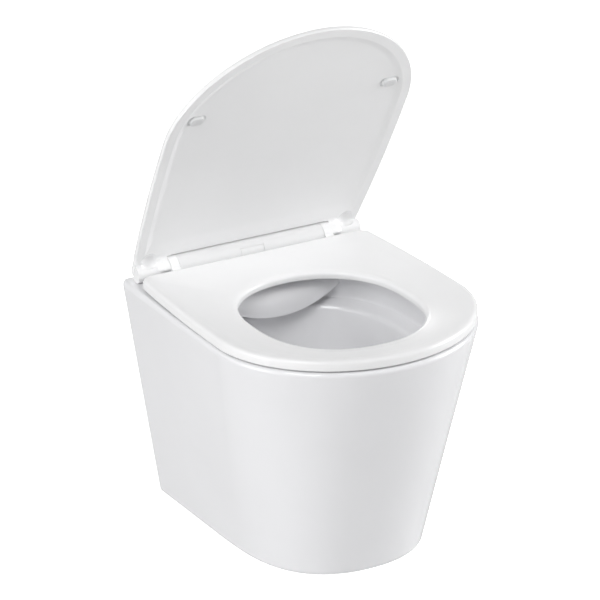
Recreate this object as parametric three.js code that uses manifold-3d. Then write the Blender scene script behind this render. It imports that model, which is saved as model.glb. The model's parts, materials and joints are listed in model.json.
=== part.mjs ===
// Wall hung toilet: a hollow rimless ceramic pan with its seat, lid, quick-release hinge
// bar, dampers, seat fixings and concealed wall fixings. Millimetres, +Z up.
// The origin lies on the wall face, midway between the two wall fixings. The pan reaches
// out from the wall along -Y, and the lid stands part open, as it does while it closes.

import * as THREE from 'three';
import { mergeVertices } from 'three/addons/utils/BufferGeometryUtils.js';
import Module from 'manifold-3d';

const wasm = await Module();
wasm.setup();

// Driving dimensions of the pan
const rimHeight = 80;              // rim top above the wall fixings
const panHeight = 315;             // rim top to underside
const panTopHalf = 182.5;
const panTopCurveStart = 245;      // where the sides begin to close in, ahead of the hinge axis
const panFrontMargin = 3.5;        // rim outside the seat at the front
const panBottomHalf = 125;
const panBottomFront = 326;        // ahead of the hinge axis
const panBottomCurveStart = 101;
const panWall = 10;
const panBackWall = 12;
const panDeck = 14;                // thickness of the rim deck
const panTopRound = 7;
const panBottomRound = 9;
const panCornerRound = 10;         // upright back corners, larger than the two edge rounds
const backOpeningMargin = 24;      // shell left beside and below the opening in the back
const backOpeningAbove = 6;        // opening above the spigot
const accessLength = 174;          // opening in the underside, below the wall fixings
const accessWidth = 74;
const accessToWall = 91;           // its middle, from the wall face
const glazeGap = 0.2;              // seat between two stacked pieces
const overrun = 2;                 // how far a cut runs past the face that it opens
const weldDistance = 0.06;         // corners closer than this along an edge are one
const sliverHeight = 0.03;         // a face thinner than this is merged into its neighbour

// Driving dimensions of the bowl, levels measured down from the rim top
const bowlHalf = 132;
const bowlBack = 50;               // ahead of the hinge axis
const bowlFront = 353;
const bowlLipRound = 7;
const bowlWall = 9;                // between the bowl and the hollow
const ledgeDepth = 45;
const sumpToUnderside = 33;
const waterColumn = 105;           // standing water above the sump's floor
const sumpHalf = 33;
const sumpBack = 136;
const sumpFront = 202;
const sumpFlare = 4;               // how much wider it is halfway up to the water
const hoodHalf = 100;
const hoodFront = 92;              // front of the hood ahead of the hinge axis
const hoodSag = 9;                 // how far its ends stand back
const hoodDepth = 47;
const hoodRise = 30;               // how far its lower edge rises at the ends
const hoodWall = 8;
const hoodSeat = 1;                // how far it sinks into the bowl's wall

// Driving dimensions of the water ways
const inletRadius = 27.5;
const inletDepth = 45;             // inlet centre below the rim top
const outletBelowWater = 3;        // outlet centre below the water level
const outletRadius = 51;
const outletWall = 8;
const outletLength = 24;
const trapRadius = 27.5;
const trapWall = 7.5;
const trapBend = 40;               // bend radius of the trapway's centre line
const trapRiseAngle = 60;          // degrees, of the leg that rises from the sump

// Driving dimensions of the fixings
const wallFixingSpacing = 180;
const wallHoleRadius = 11;
const studRadius = 6;
const flangeReach = 5;             // sleeve flange outside its hole
const washerThickness = 2.5;
const fixingNutLength = 10;
const seatHoleSpacing = 155;
const seatHoleRadius = 7;

// Driving dimensions of the seat, the lid and their hinge
const hingeToWall = 21;
const hingeAboveRim = 12;
const seatMargin = 2.5;            // rim outside the seat at the sides
const seatLength = 400;            // hinge axis to seat front
const seatCurveStart = 245;
const seatTop = 16.5;              // above the rim
const seatUnder = 2.6;
const seatDish = 6;                // how far the top falls towards the opening
const seatLip = 1.5;               // how far the inner lip hangs below the rim top
const openingHalf = 111;
const openingBack = 95;
const openingFront = 342;
const seatCornerRound = 12;
const seatOuterRoll = 8;
const openingRoll = 8.5;
const seatBumperInset = 22;        // middle of a bumper, from the seat's edge
const seatBumperLength = 20;
const seatBumperWidth = 11;
const seatBumperPinLength = 12;
const seatBumperPinWidth = 8;
const lidMargin = 1;               // seat outside the lid at the sides
const lidOverhang = 5;             // lid ahead of the seat
const lidUnder = 6.6;              // above the hinge axis when shut
const lidThickness = 8.5;
const lidCrown = 4.7;              // height of its round upper edge
const lidEdgeEase = 1.4;           // its lower edge
const lidRecess = 2.4;
const lidRim = 13;
const lidRimSlope = 11;
const lidRearSlope = 9;            // where its top falls to the ears, ahead of the wall face
const lidOpenAngle = 62;           // degrees, as it stands
const lidBumperInset = 33.4;       // middle of a bumper, from the lid's edge
const lidBumperToFront = 127.6;
const lidBumperLength = 27;
const lidBumperWidth = 11;
const barrelHalf = 108.5;
const barrelRadius = 16.8;
const earRadius = 11.5;
const knuckleFrontAngle = 20;      // degrees about the hinge axis, up from straight ahead
const knuckleBackAngle = 110;
const knuckleHookAngle = 150;
const knuckleFootAngle = 285;
const knuckleRootDrop = 0.6;       // its root below the seat's top
const knuckleWidth = 12.3;
const notchLowAngle = -60;         // degrees about the hinge axis, of the lid's notch
const notchHighAngle = 130;
const sideGap = 0.35;              // between leaves of the hinge
const swingGap = 0.6;              // between the barrel and what swings round it
const shaftRadius = 3.5;
const shaftBearing = 26.5;         // length of a shaft in the lid's ear
const damperRadius = 6.4;
const damperLength = 38;
const runningGap = 0.3;
const skirtGap = 0.8;              // hinge bar above the rim
const damperToPillar = 8.5;        // middle of a pillar, from the damper's inner end
const pillarRadius = 4.5;
const pillarFootRadius = 3.3;
const pillarTop = 21;              // above the rim
const pillarTaper = 2.2;           // height of its tapered tip
const neckRadius = 3;
const clipLevel = 14;              // middle of the locking clips above the rim
const clipThickness = 1.4;
const gasketThickness = 1.2;
const gasketMargin = 1;            // base plate outside its gasket
const plateThickness = 2.6;
const plateLength = 44;
const plateWidth = 23;
const boltRadius = 3;
const boltHeadRadius = 5.4;
const boltLength = 38;
const boltTail = 1;                // bolt below its nut
const plugNutThickness = 5;
const plugBulge = 1.5;             // plug outside its hole, below the deck
const buttonHalf = 17;
const buttonTravel = 3;
const buttonSeat = 8.4;            // its recess's floor ahead of the hinge axis
const buttonLowAngle = 4;          // degrees about the hinge axis, below straight ahead
const buttonHighAngle = 38;
const springSpacing = 22.6;
const springReach = 11.2;          // springs behind the hinge axis
const pusherToPillar = 9;
const pusherSlotReach = 5.6;       // pusher slot ahead of the pusher
const bumperHeight = 2;            // pins of the bumpers, in their sockets

// Shares and counts
const degree = Math.PI / 180;
const sideSteps = 20;
const roundSteps = 24;
const bowlSteps = 36;
const smallSteps = 12;
const pipeSides = 16;
const pipeStepAngle = 13;          // degrees of a bend from ring to ring
const cornerSteps = 3;
const hoodSteps = 14;
const hexSides = 6;
const fullTurn = 360;              // degrees
const seatShapeShares = { p: 1.9, q: 2.0, taper: 0.072 };
const panTopShapeShares = { p: 1.9, q: 2.0, taper: 0.021 };
const panBottomShapeShares = { p: 4, q: 2.2, taper: 0 };
const openingShapeShares = { p: 2.5, q: 2.1 };
const bowlShapeShares = { p: 2.6, q: 2.1 };
const bowlShares = {               // depths are shares of the water's depth
  slope: { half: 0.86, back: 1.3, front: 0.957 },
  middle: { depth: 0.574, half: 0.76, back: 1.5, front: 0.9 },
  deep: { depth: 0.828, half: 0.6, back: 1.86, front: 0.8 },
  water: { half: 0.45, back: 2.2, front: 0.68 },
};
const sumpFloorShare = 0.5;
const hoodCurveShares = [
  [0.35, 0], [0.66, 0.1], [0.86, 0.3], [0.97, 0.58], [1, 0.82], [0.97, 0.95], [0.88, 1],
];
const seatEdgeShares = [[0.25, 0], [0, 0.25], [0, 0.5], [0.14, 0.81], [0.55, 0.96], [1, 1]];
const seatTopShares = [[0.35, 0.3], [0.65, 0.75]];
const openingRollShares = [[1, 0], [0.35, 0.2], [0, 0.65]];
const openingLipShares = { edge: 0.06, back: 1, root: 1.3 };
const seatBumperShares = { rear: 0.3, front: 0.82 };
const lidCrownShares = [[0.14, 0.5], [0.5, 0.14], [1, 0]];

// Places worked out from the driving dimensions
const panBase = rimHeight - panHeight;
const axisHeight = rimHeight + hingeAboveRim;
const panFront = seatLength + panFrontMargin;
const sumpDepth = panHeight - sumpToUnderside;
const waterDepth = sumpDepth - waterColumn;
const outletDepth = waterDepth + outletBelowWater;
const seatHalf = panTopHalf - seatMargin;
const lidHalf = seatHalf - lidMargin;
const lidLength = seatLength + lidOverhang;
const seatHoleX = seatHoleSpacing / 2;
const pillarX = barrelHalf - damperLength - damperToPillar;
const wallHoleX = wallFixingSpacing / 2;
const knuckleInner = barrelHalf + sideGap;
const knuckleOuter = knuckleInner + knuckleWidth;
const earInner = knuckleOuter + sideGap;
const shaftReach = earInner + shaftBearing;
const lidNotchRadius = barrelRadius + swingGap;
const seatBack = barrelRadius + swingGap;
const plateCentreX = (seatHoleX + pillarX) / 2;
const lidBumperDrop = hingeAboveRim + lidUnder - seatTop - runningGap;

// Materials
const ceramic = new THREE.MeshStandardMaterial({ color: 0xf1f2f4, roughness: 0.08, metalness: 0 });
const seatResin = new THREE.MeshStandardMaterial({ color: 0xf0f1f2, roughness: 0.22, metalness: 0 });
const hingePlastic = new THREE.MeshStandardMaterial({ color: 0xeceef0, roughness: 0.35, metalness: 0 });
const greyPlastic = new THREE.MeshStandardMaterial({ color: 0x8d9196, roughness: 0.5, metalness: 0 });
const steel = new THREE.MeshStandardMaterial({ color: 0xb9bcc0, roughness: 0.3, metalness: 1 });
const rubber = new THREE.MeshStandardMaterial({ color: 0xd9dadc, roughness: 0.7, metalness: 0 });
const darkRubber = new THREE.MeshStandardMaterial({ color: 0x2b2d30, roughness: 0.8, metalness: 0 });

const toilet = new THREE.Group();
toilet.name = 'wall_hung_toilet';
const frame = new THREE.Matrix4();

// A point at x, a distance ahead of the hinge axis and a height above the wall fixings
function ahead(x, forward, height) {
  return new THREE.Vector3(x, -forward - hingeToWall, height);
}

// A closed solid from any closed geometry, after an optional placing
function solid(geometry, matrix = frame) {
  const bare = geometry.clone().applyMatrix4(matrix);
  bare.deleteAttribute('normal');
  bare.deleteAttribute('uv');
  const merged = mergeVertices(bare);
  const index = merged.index ? merged.index.array : merged.getAttribute('position').array.map((_, k) => k);
  return new wasm.Manifold(new wasm.Mesh({
    numProp: 3,
    vertProperties: new Float32Array(merged.getAttribute('position').array),
    triVerts: new Uint32Array(index),
  }));
}

// The height of a face above its longest edge, and where that edge starts
function faceHeight(points, face) {
  const lengths = face.map((a, k) => points[a].distanceTo(points[face[(k + 1) % 3]]));
  const longest = lengths.indexOf(Math.max(...lengths));
  const along = points[face[1]].clone().sub(points[face[0]]);
  const across = points[face[2]].clone().sub(points[face[0]]);
  return { height: along.cross(across).length() / lengths[longest], longest };
}

// Joins corners that an edge shorter than the weld distance links, and drops the faces
// that close up and the pairs that lie back to back
function weld(points, faces) {
  const joined = points.map((_, k) => k);
  const root = (k) => (joined[k] === k ? k : root(joined[k]));
  faces.forEach((face) => face.forEach((corner, k) => {
    const a = root(corner);
    const b = root(face[(k + 1) % 3]);
    if (points[a].distanceTo(points[b]) < weldDistance) joined[Math.max(a, b)] = Math.min(a, b);
  }));
  const open = faces.map((face) => face.map(root)).filter(([a, b, c]) => a !== b && b !== c && c !== a);
  const corners = (face) => [...face].sort((a, b) => a - b).join(' ');
  const uses = new Map();
  open.forEach((face) => uses.set(corners(face), (uses.get(corners(face)) ?? 0) + 1));
  return open.filter((face) => uses.get(corners(face)) === 1);
}

// Turns the long edge of each sliver over, so that its third corner splits the face beyond
function turnSlivers(points, faces) {
  let turned = 0;
  const owner = new Map();
  faces.forEach((face, f) => face.forEach((a, k) => owner.set(`${a} ${face[(k + 1) % 3]}`, f)));
  const touched = new Set();
  faces.forEach((face, f) => {
    const { height, longest } = faceHeight(points, face);
    if (height >= sliverHeight || touched.has(f)) return;
    const a = face[longest];
    const b = face[(longest + 1) % 3];
    const c = face[(longest + 2) % 3];
    const beyond = owner.get(`${b} ${a}`);
    if (beyond === undefined || touched.has(beyond)) return;
    const d = faces[beyond].find((corner) => corner !== a && corner !== b);
    if (owner.has(`${c} ${d}`) || owner.has(`${d} ${c}`)) return;
    faces[f] = [a, d, c];
    faces[beyond] = [d, b, c];
    touched.add(f).add(beyond);
    turned += 1;
  });
  return turned;
}

// Adds a named piece, cut from a solid, to a group
function piece(name, body, material, group = toilet) {
  const data = body.getMesh();
  const points = [];
  for (let k = 0; k < data.vertProperties.length; k += 3) {
    points.push(new THREE.Vector3().fromArray(data.vertProperties, k));
  }
  let faces = [];
  for (let k = 0; k < data.triVerts.length; k += 3) faces.push([...data.triVerts.slice(k, k + 3)]);
  faces = weld(points, faces);
  for (let pass = 0; pass < smallSteps && turnSlivers(points, faces) > 0; pass += 1) {
    faces = weld(points, faces);
  }
  const geometry = new THREE.BufferGeometry().setFromPoints(points);
  geometry.setIndex(faces.flat());
  geometry.computeVertexNormals();
  const mesh = new THREE.Mesh(geometry, material);
  mesh.name = name;
  group.add(mesh);
  return mesh;
}

function place(x, y, z) {
  return new THREE.Matrix4().makeTranslation(x, y, z);
}

function turned(x, y, z, matrix) {
  return place(x, y, z).multiply(matrix);
}

// A box between two corners
function box(low, high) {
  const size = high.clone().sub(low);
  const middle = high.clone().add(low).multiplyScalar(1 / 2);
  return solid(new THREE.BoxGeometry(size.x, size.y, size.z), place(middle.x, middle.y, middle.z));
}

// A solid turned about a vertical axis through x, y. The profile runs from low to high.
function turnedUp(profile, x, y, steps = smallSteps) {
  const points = profile.map(([radius, height]) => new THREE.Vector2(radius, height));
  const lathe = new THREE.LatheGeometry(points, steps);
  return solid(lathe, turned(x, y, 0, new THREE.Matrix4().makeRotationX(Math.PI / 2)));
}

// A cylinder between two points
function rod(from, to, radius, steps = smallSteps) {
  const span = to.clone().sub(from);
  const middle = to.clone().add(from).multiplyScalar(1 / 2);
  const up = new THREE.Vector3(0, 1, 0);
  const spin = new THREE.Quaternion().setFromUnitVectors(up, span.clone().normalize());
  const matrix = new THREE.Matrix4().compose(middle, spin, new THREE.Vector3(1, 1, 1));
  return solid(new THREE.CylinderGeometry(radius, radius, span.length(), steps), matrix);
}

// A round pipe in the middle plane, with a ring of points square to its heading at each
// station of its route
function pipe(route, radius) {
  return loft(route.map(({ y, height, heading }) => {
    const ring = [];
    for (let k = 0; k < pipeSides; k += 1) {
      const angle = (2 * Math.PI * (k + 1 / 2)) / pipeSides;
      const out = radius * Math.cos(angle);
      ring.push(new THREE.Vector3(
        radius * Math.sin(angle), y - out * Math.sin(heading), height + out * Math.cos(heading),
      ));
    }
    return ring;
  }));
}

// A solid through closed rings of points, with a fan of triangles at each end. Rings run
// counter-clockwise seen from above and are given from low to high.
function loft(rings) {
  const count = rings[0].length;
  const positions = [];
  const index = [];
  rings.forEach((ring) => ring.forEach((p) => positions.push(p.x, p.y, p.z)));
  for (let r = 0; r < rings.length - 1; r += 1) {
    for (let k = 0; k < count; k += 1) {
      const a = r * count + k;
      const b = r * count + (k + 1) % count;
      index.push(a, b, b + count, a, b + count, a + count);
    }
  }
  const ends = [[0, 1], [rings.length - 1, 0]];
  ends.forEach(([r, flip]) => {
    const centre = rings[r].reduce((sum, p) => sum.add(p), new THREE.Vector3()).divideScalar(count);
    const apex = positions.length / 3;
    positions.push(centre.x, centre.y, centre.z);
    for (let k = 0; k < count; k += 1) {
      const a = r * count + k;
      const b = r * count + (k + 1) % count;
      if (flip) index.push(apex, b, a);
      else index.push(apex, a, b);
    }
  });
  const geometry = new THREE.BufferGeometry();
  geometry.setAttribute('position', new THREE.Float32BufferAttribute(positions, 3));
  geometry.setIndex(index);
  return solid(geometry);
}

// A ring-shaped solid: one closed section of points for each step round the ring
function hoop(sections) {
  const count = sections[0].length;
  const positions = [];
  const index = [];
  sections.forEach((section) => section.forEach((p) => positions.push(p.x, p.y, p.z)));
  for (let r = 0; r < sections.length; r += 1) {
    for (let k = 0; k < count; k += 1) {
      const a = r * count + k;
      const b = r * count + (k + 1) % count;
      const c = ((r + 1) % sections.length) * count + (k + 1) % count;
      const d = ((r + 1) % sections.length) * count + k;
      index.push(a, c, b, a, d, c);
    }
  }
  const geometry = new THREE.BufferGeometry();
  geometry.setAttribute('position', new THREE.Float32BufferAttribute(positions, 3));
  geometry.setIndex(index);
  return solid(geometry);
}

// A solid with one outline, x forward and y up as seen from its left, run along X
function sideProfile(points, fromX, toX) {
  const shape = new THREE.Shape(points.map(([forward, height]) => new THREE.Vector2(forward, height)));
  const block = new THREE.ExtrudeGeometry(shape, { depth: toX - fromX, bevelEnabled: false });
  const basis = new THREE.Matrix4().makeBasis(
    new THREE.Vector3(0, -1, 0),
    new THREE.Vector3(0, 0, 1),
    new THREE.Vector3(-1, 0, 0),
  );
  return solid(block, turned(toX, 0, 0, basis));
}

// An upright solid with a plan outline
function planProfile(points, low, high) {
  const shape = new THREE.Shape(points);
  const block = new THREE.ExtrudeGeometry(shape, { depth: high - low, bevelEnabled: false });
  return solid(block, place(0, 0, low));
}

// Points of a slot-shaped outline, long in x
function slotOutline(x, y, length, width) {
  const radius = width / 2;
  const reach = length / 2 - radius;
  const points = [];
  for (let k = 0; k <= smallSteps / 2; k += 1) {
    const angle = -Math.PI / 2 + (2 * Math.PI * k) / smallSteps;
    points.push(new THREE.Vector2(x + reach + radius * Math.cos(angle), y + radius * Math.sin(angle)));
  }
  for (let k = 0; k <= smallSteps / 2; k += 1) {
    const angle = Math.PI / 2 + (2 * Math.PI * k) / smallSteps;
    points.push(new THREE.Vector2(x - reach + radius * Math.cos(angle), y + radius * Math.sin(angle)));
  }
  return points;
}

// Half-width of a D outline at a distance ahead of the hinge axis
function outlineHalf(forward, half, front, curveStart, shares) {
  const along = Math.max(0, (forward - curveStart) / (front - curveStart));
  const behind = Math.max(0, (curveStart - forward) / curveStart);
  const closing = Math.max(0, 1 - along ** shares.p) ** (1 / shares.q);
  return half * (1 - shares.taper * behind ** 2) * closing;
}

// A D outline, open at the back, from the back left corner round the front to the back
// right one: x and distance ahead of the hinge axis
function dOutline(half, front, curveStart, shares, back, corner) {
  const side = [];
  for (let k = 0; k < cornerSteps; k += 1) {
    const angle = (Math.PI / 2) * (k / cornerSteps);
    const inset = corner * (1 - Math.sin(angle));
    const forward = back + corner * (1 - Math.cos(angle));
    side.push([outlineHalf(forward, half, front, curveStart, shares) - inset, forward]);
  }
  const start = back + corner;
  for (let k = 0; k < sideSteps; k += 1) {
    const forward = start + (front - start) * (1 - (1 - k / sideSteps) ** 2);
    side.push([outlineHalf(forward, half, front, curveStart, shares), forward]);
  }
  const left = side.map(([x, forward]) => new THREE.Vector2(-x, forward));
  const right = side.map(([x, forward]) => new THREE.Vector2(x, forward)).reverse();
  return [...left, new THREE.Vector2(0, front), ...right];
}

// Moves each point of an open outline inwards, square to it
function inset(outline, distance, keepBack = true) {
  return outline.map((p, k) => {
    const before = outline[Math.max(k - 1, 0)];
    const after = outline[Math.min(k + 1, outline.length - 1)];
    const along = after.clone().sub(before).normalize();
    const moved = new THREE.Vector2(p.x + along.y * distance, p.y - along.x * distance);
    const end = k === 0 || k === outline.length - 1;
    if (end && keepBack) moved.y = p.y;
    return moved;
  });
}

// A D outline as a ring at a height, in the order that a loft takes
function level(outline, height) {
  return outline.map((p) => ahead(p.x, p.y, height));
}

// A closed oval with its own half-width and back and front reach, as a ring
function oval(half, back, front, shares, height, count = bowlSteps) {
  const middle = (back + front) / 2;
  const reach = (front - back) / 2;
  const ring = [];
  for (let k = 0; k < count; k += 1) {
    const angle = (2 * Math.PI * (k + 1 / 2)) / count;
    const c = Math.cos(angle);
    const s = Math.sin(angle);
    const x = half * Math.sign(c) * Math.abs(c) ** (2 / shares.q);
    const y = reach * Math.sign(s) * Math.abs(s) ** (2 / shares.p);
    ring.push(ahead(x, middle - y, height));
  }
  return ring;
}

// Outer and inner forms of the pan
const topOutline = dOutline(
  panTopHalf, panFront, panTopCurveStart, panTopShapeShares, -hingeToWall, panCornerRound,
);
const bottomOutline = dOutline(
  panBottomHalf, panBottomFront, panBottomCurveStart, panBottomShapeShares, -hingeToWall, panCornerRound,
);

// The pan's outline at a height, straight from the top outline to the bottom one
function panOutline(height) {
  const down = (rimHeight - height) / panHeight;
  return topOutline.map((p, k) => p.clone().lerp(bottomOutline[k], down));
}

function panForm() {
  const rings = [];
  for (let k = 0; k <= cornerSteps; k += 1) {
    const angle = (Math.PI / 2) * (k / cornerSteps);
    const height = panBase + panBottomRound * (1 - Math.cos(angle));
    rings.push(level(inset(panOutline(height), panBottomRound * (1 - Math.sin(angle))), height));
  }
  for (let k = 0; k <= cornerSteps; k += 1) {
    const angle = (Math.PI / 2) * (k / cornerSteps);
    const height = rimHeight - panTopRound * (1 - Math.sin(angle));
    rings.push(level(inset(panOutline(height), panTopRound * (1 - Math.cos(angle))), height));
  }
  return loft(rings);
}

function panHollow() {
  const low = panBase + panWall;
  const high = rimHeight - panDeck;
  const form = loft([low, high].map((height) => level(inset(panOutline(height), panWall), height)));
  const reach = panTopHalf + overrun;
  const backWall = box(
    new THREE.Vector3(-reach, -panBackWall, panBase - overrun),
    new THREE.Vector3(reach, overrun, rimHeight + overrun),
  );
  return form.subtract(backWall);
}

// Levels of the bowl: depth below the rim, half-width, back and front reach
function bowlLevels(spread) {
  const span = sumpDepth - trapRadius;
  const row = (depth, { half, back, front }) => [depth, bowlHalf * half, bowlBack * back, bowlFront * front];
  const { slope, middle, deep, water } = bowlShares;
  const rows = [
    [ledgeDepth, bowlHalf, bowlBack, bowlFront],
    row(ledgeDepth + bowlLipRound, slope),
    row(waterDepth * middle.depth, middle),
    row(waterDepth * deep.depth, deep),
    row(waterDepth, water),
    [(waterDepth + span) / 2, sumpHalf + sumpFlare, sumpBack - 2 * sumpFlare, sumpFront + 2 * sumpFlare],
    [span, sumpHalf, sumpBack, sumpFront],
  ];
  return rows.map(([depth, half, back, front]) => oval(
    half + spread, back - spread, front + spread, bowlShapeShares, rimHeight - depth,
  ));
}

function bowlForm(spread) {
  const floorInset = ((sumpFront - sumpBack) * (1 - sumpFloorShare)) / 2;
  const bottom = oval(
    (sumpHalf + spread) * sumpFloorShare, sumpBack + floorInset, sumpFront - floorInset,
    bowlShapeShares, rimHeight - sumpDepth - spread,
  );
  const rim = [];
  if (spread > 0) {
    rim.push(oval(
      bowlHalf + spread, bowlBack - spread, bowlFront + spread, bowlShapeShares, rimHeight - panDeck / 2,
    ));
  } else {
    for (let k = 0; k <= cornerSteps; k += 1) {
      const angle = (Math.PI / 2) * (k / cornerSteps);
      const out = bowlLipRound * (1 - Math.cos(angle)) - bowlLipRound / 2;
      const depth = bowlLipRound * (1 - Math.sin(angle));
      rim.push(oval(bowlHalf + out, bowlBack - out, bowlFront + out, bowlShapeShares, rimHeight - depth));
    }
    const out = bowlLipRound / 2;
    rim.push(oval(bowlHalf + out, bowlBack - out, bowlFront + out, bowlShapeShares, rimHeight + overrun));
  }
  return loft([bottom, ...bowlLevels(spread).reverse(), ...rim]);
}

// The hood over the flush outlet: a leaf-shaped apron at the back of the bowl, open below.
// Wall 0 gives its outside, and a wall gives the space behind it.
function hoodForm(wall) {
  const rings = [];
  const half = wall > 0 ? hoodHalf + overrun : hoodHalf;
  const behind = bowlBack - panWall;
  for (let k = 0; k <= hoodSteps; k += 1) {
    const share = -1 + (2 * k) / hoodSteps;
    const edge = hoodFront - hoodSag * share ** 2 - wall;
    const top = wall > 0 ? rimHeight - panDeck / 2 - wall : rimHeight - panDeck / 4;
    const low = rimHeight - hoodDepth + hoodRise * share ** 2;
    const bottom = wall > 0 ? low - overrun * 2 : low;
    const curve = hoodCurveShares.map(([out, down]) => ahead(
      half * share, bowlBack + (edge - bowlBack) * out, top + (bottom - top) * down,
    ));
    rings.push([ahead(half * share, behind, bottom), ahead(half * share, behind, top), ...curve]);
  }
  return loft(rings);
}

// The trapway's route: up out of the sump, over the weir and down to the outlet, in turns
// of one bend radius with a straight rise between the first two
function trapRoute() {
  const dip = rimHeight - sumpDepth + trapRadius + glazeGap;
  const crest = rimHeight - waterDepth + trapRadius;
  const rise = trapRiseAngle * degree;
  const fall = Math.acos(1 - (crest - rimHeight + outletDepth) / (2 * trapBend));
  const straight = (crest - dip - 2 * trapBend * (1 - Math.cos(rise))) / Math.sin(rise);
  const stations = [{ y: 0, height: dip, heading: 0 }];
  const run = (length) => {
    const from = stations.at(-1);
    stations.push({
      y: from.y + length * Math.cos(from.heading),
      height: from.height + length * Math.sin(from.heading),
      heading: from.heading,
    });
  };
  const turn = (to) => {
    const from = stations.at(-1);
    const radius = trapBend * Math.sign(to - from.heading);
    const steps = Math.ceil(Math.abs(to - from.heading) / (pipeStepAngle * degree));
    for (let k = 1; k <= steps; k += 1) {
      const heading = from.heading + ((to - from.heading) * k) / steps;
      stations.push({
        y: from.y + radius * (Math.sin(heading) - Math.sin(from.heading)),
        height: from.height + radius * (Math.cos(from.heading) - Math.cos(heading)),
        heading,
      });
    }
  };
  turn(rise);
  run(straight);
  turn(-fall);
  turn(0);
  run(overrun);
  const shift = overrun - outletLength - stations.at(-1).y;
  return stations.map(({ y, height, heading }) => ({ y: y + shift, height, heading }));
}

// A rod along Y from one place behind the wall face to another, at a side and a height
function wallRod(x, height, fromY, toY, radius, steps = smallSteps) {
  return rod(new THREE.Vector3(x, fromY, height), new THREE.Vector3(x, toY, height), radius, steps);
}

function buildPan() {
  const hollow = panHollow().subtract(bowlForm(bowlWall));
  const inletCentre = rimHeight - inletDepth;
  const outletCentre = rimHeight - outletDepth;
  const bowlWallY = -hingeToWall - bowlBack;
  const inletTube = wallRod(0, inletCentre, overrun, bowlWallY, inletRadius + panWall / 2, roundSteps);
  const route = trapRoute();
  const spigot = wallRod(0, outletCentre, -outletLength - outletWall, 0, outletRadius, roundSteps);
  const trapOuter = pipe(route, trapRadius + trapWall).add(spigot);
  const openingHalfWidth = panBottomHalf - backOpeningMargin;
  const backOpening = box(
    new THREE.Vector3(-openingHalfWidth, -panBackWall - overrun, panBase + backOpeningMargin),
    new THREE.Vector3(openingHalfWidth, overrun, outletCentre + outletRadius + backOpeningAbove),
  );
  const accessOpening = planProfile(
    slotOutline(0, -accessToWall, accessLength, accessWidth), panBase - overrun, panBase + panWall + overrun,
  );
  let body = panForm();
  body = body.subtract(hollow.subtract(inletTube).subtract(trapOuter));
  const hood = hoodForm(0).intersect(bowlForm(hoodSeat)).subtract(hoodForm(hoodWall));
  body = body.subtract(bowlForm(0)).add(hood);
  body = body.subtract(backOpening.subtract(trapOuter)).subtract(accessOpening.subtract(trapOuter));
  body = body.subtract(wallRod(0, inletCentre, overrun, bowlWallY - overrun, inletRadius, roundSteps));
  body = body.subtract(pipe(route, trapRadius));
  const spigotBore = wallRod(0, outletCentre, -outletLength, overrun, outletRadius - outletWall, roundSteps);
  body = body.subtract(spigotBore);
  for (const side of [-1, 1]) {
    body = body.subtract(wallRod(side * wallHoleX, 0, -panBackWall - overrun, overrun, wallHoleRadius));
    body = body.subtract(rod(
      ahead(side * seatHoleX, 0, rimHeight - panDeck - overrun),
      ahead(side * seatHoleX, 0, rimHeight + overrun), seatHoleRadius,
    ));
  }
  piece('pan', body, ceramic);
}

// Concealed wall fixings: a sleeve in each hole, a washer and a nut on the wall's stud
function buildWallFixing(side, name) {
  const x = side * wallHoleX;
  const flangeRadius = wallHoleRadius + flangeReach;
  const flangeFront = -panBackWall - glazeGap;
  const flangeBack = flangeFront - washerThickness;
  const washerFront = flangeBack - glazeGap;
  const washerBack = washerFront - washerThickness;
  const nutFront = washerBack - glazeGap;
  const nutBack = nutFront - fixingNutLength;
  const bore = wallRod(x, 0, nutBack - overrun, overrun, studRadius + runningGap);
  const sleeve = wallRod(x, 0, flangeBack, -glazeGap, wallHoleRadius - runningGap)
    .add(wallRod(x, 0, flangeBack, flangeFront, flangeRadius));
  const washer = wallRod(x, 0, washerBack, washerFront, flangeRadius - runningGap);
  const nut = wallRod(x, 0, nutBack, nutFront, wallHoleRadius, hexSides);
  piece(`${name}_fixing_sleeve`, sleeve.subtract(bore), greyPlastic);
  piece(`${name}_fixing_washer`, washer.subtract(bore), steel);
  piece(`${name}_fixing_nut`, nut.subtract(bore), steel);
}

// Seat fixings: gasket, base plate, pillar, bolt, expansion plug and plug nut
const gasketLow = rimHeight + glazeGap;
const gasketHigh = gasketLow + gasketThickness;
const plateLow = gasketHigh + glazeGap;
const plateHigh = plateLow + plateThickness;
const clipHeight = rimHeight + clipLevel;
const neckHalf = clipThickness;

// An upright rod on the line of the hinge axis
function uprightRod(x, low, high, radius, steps = smallSteps) {
  return rod(ahead(x, 0, low), ahead(x, 0, high), radius, steps);
}

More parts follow.
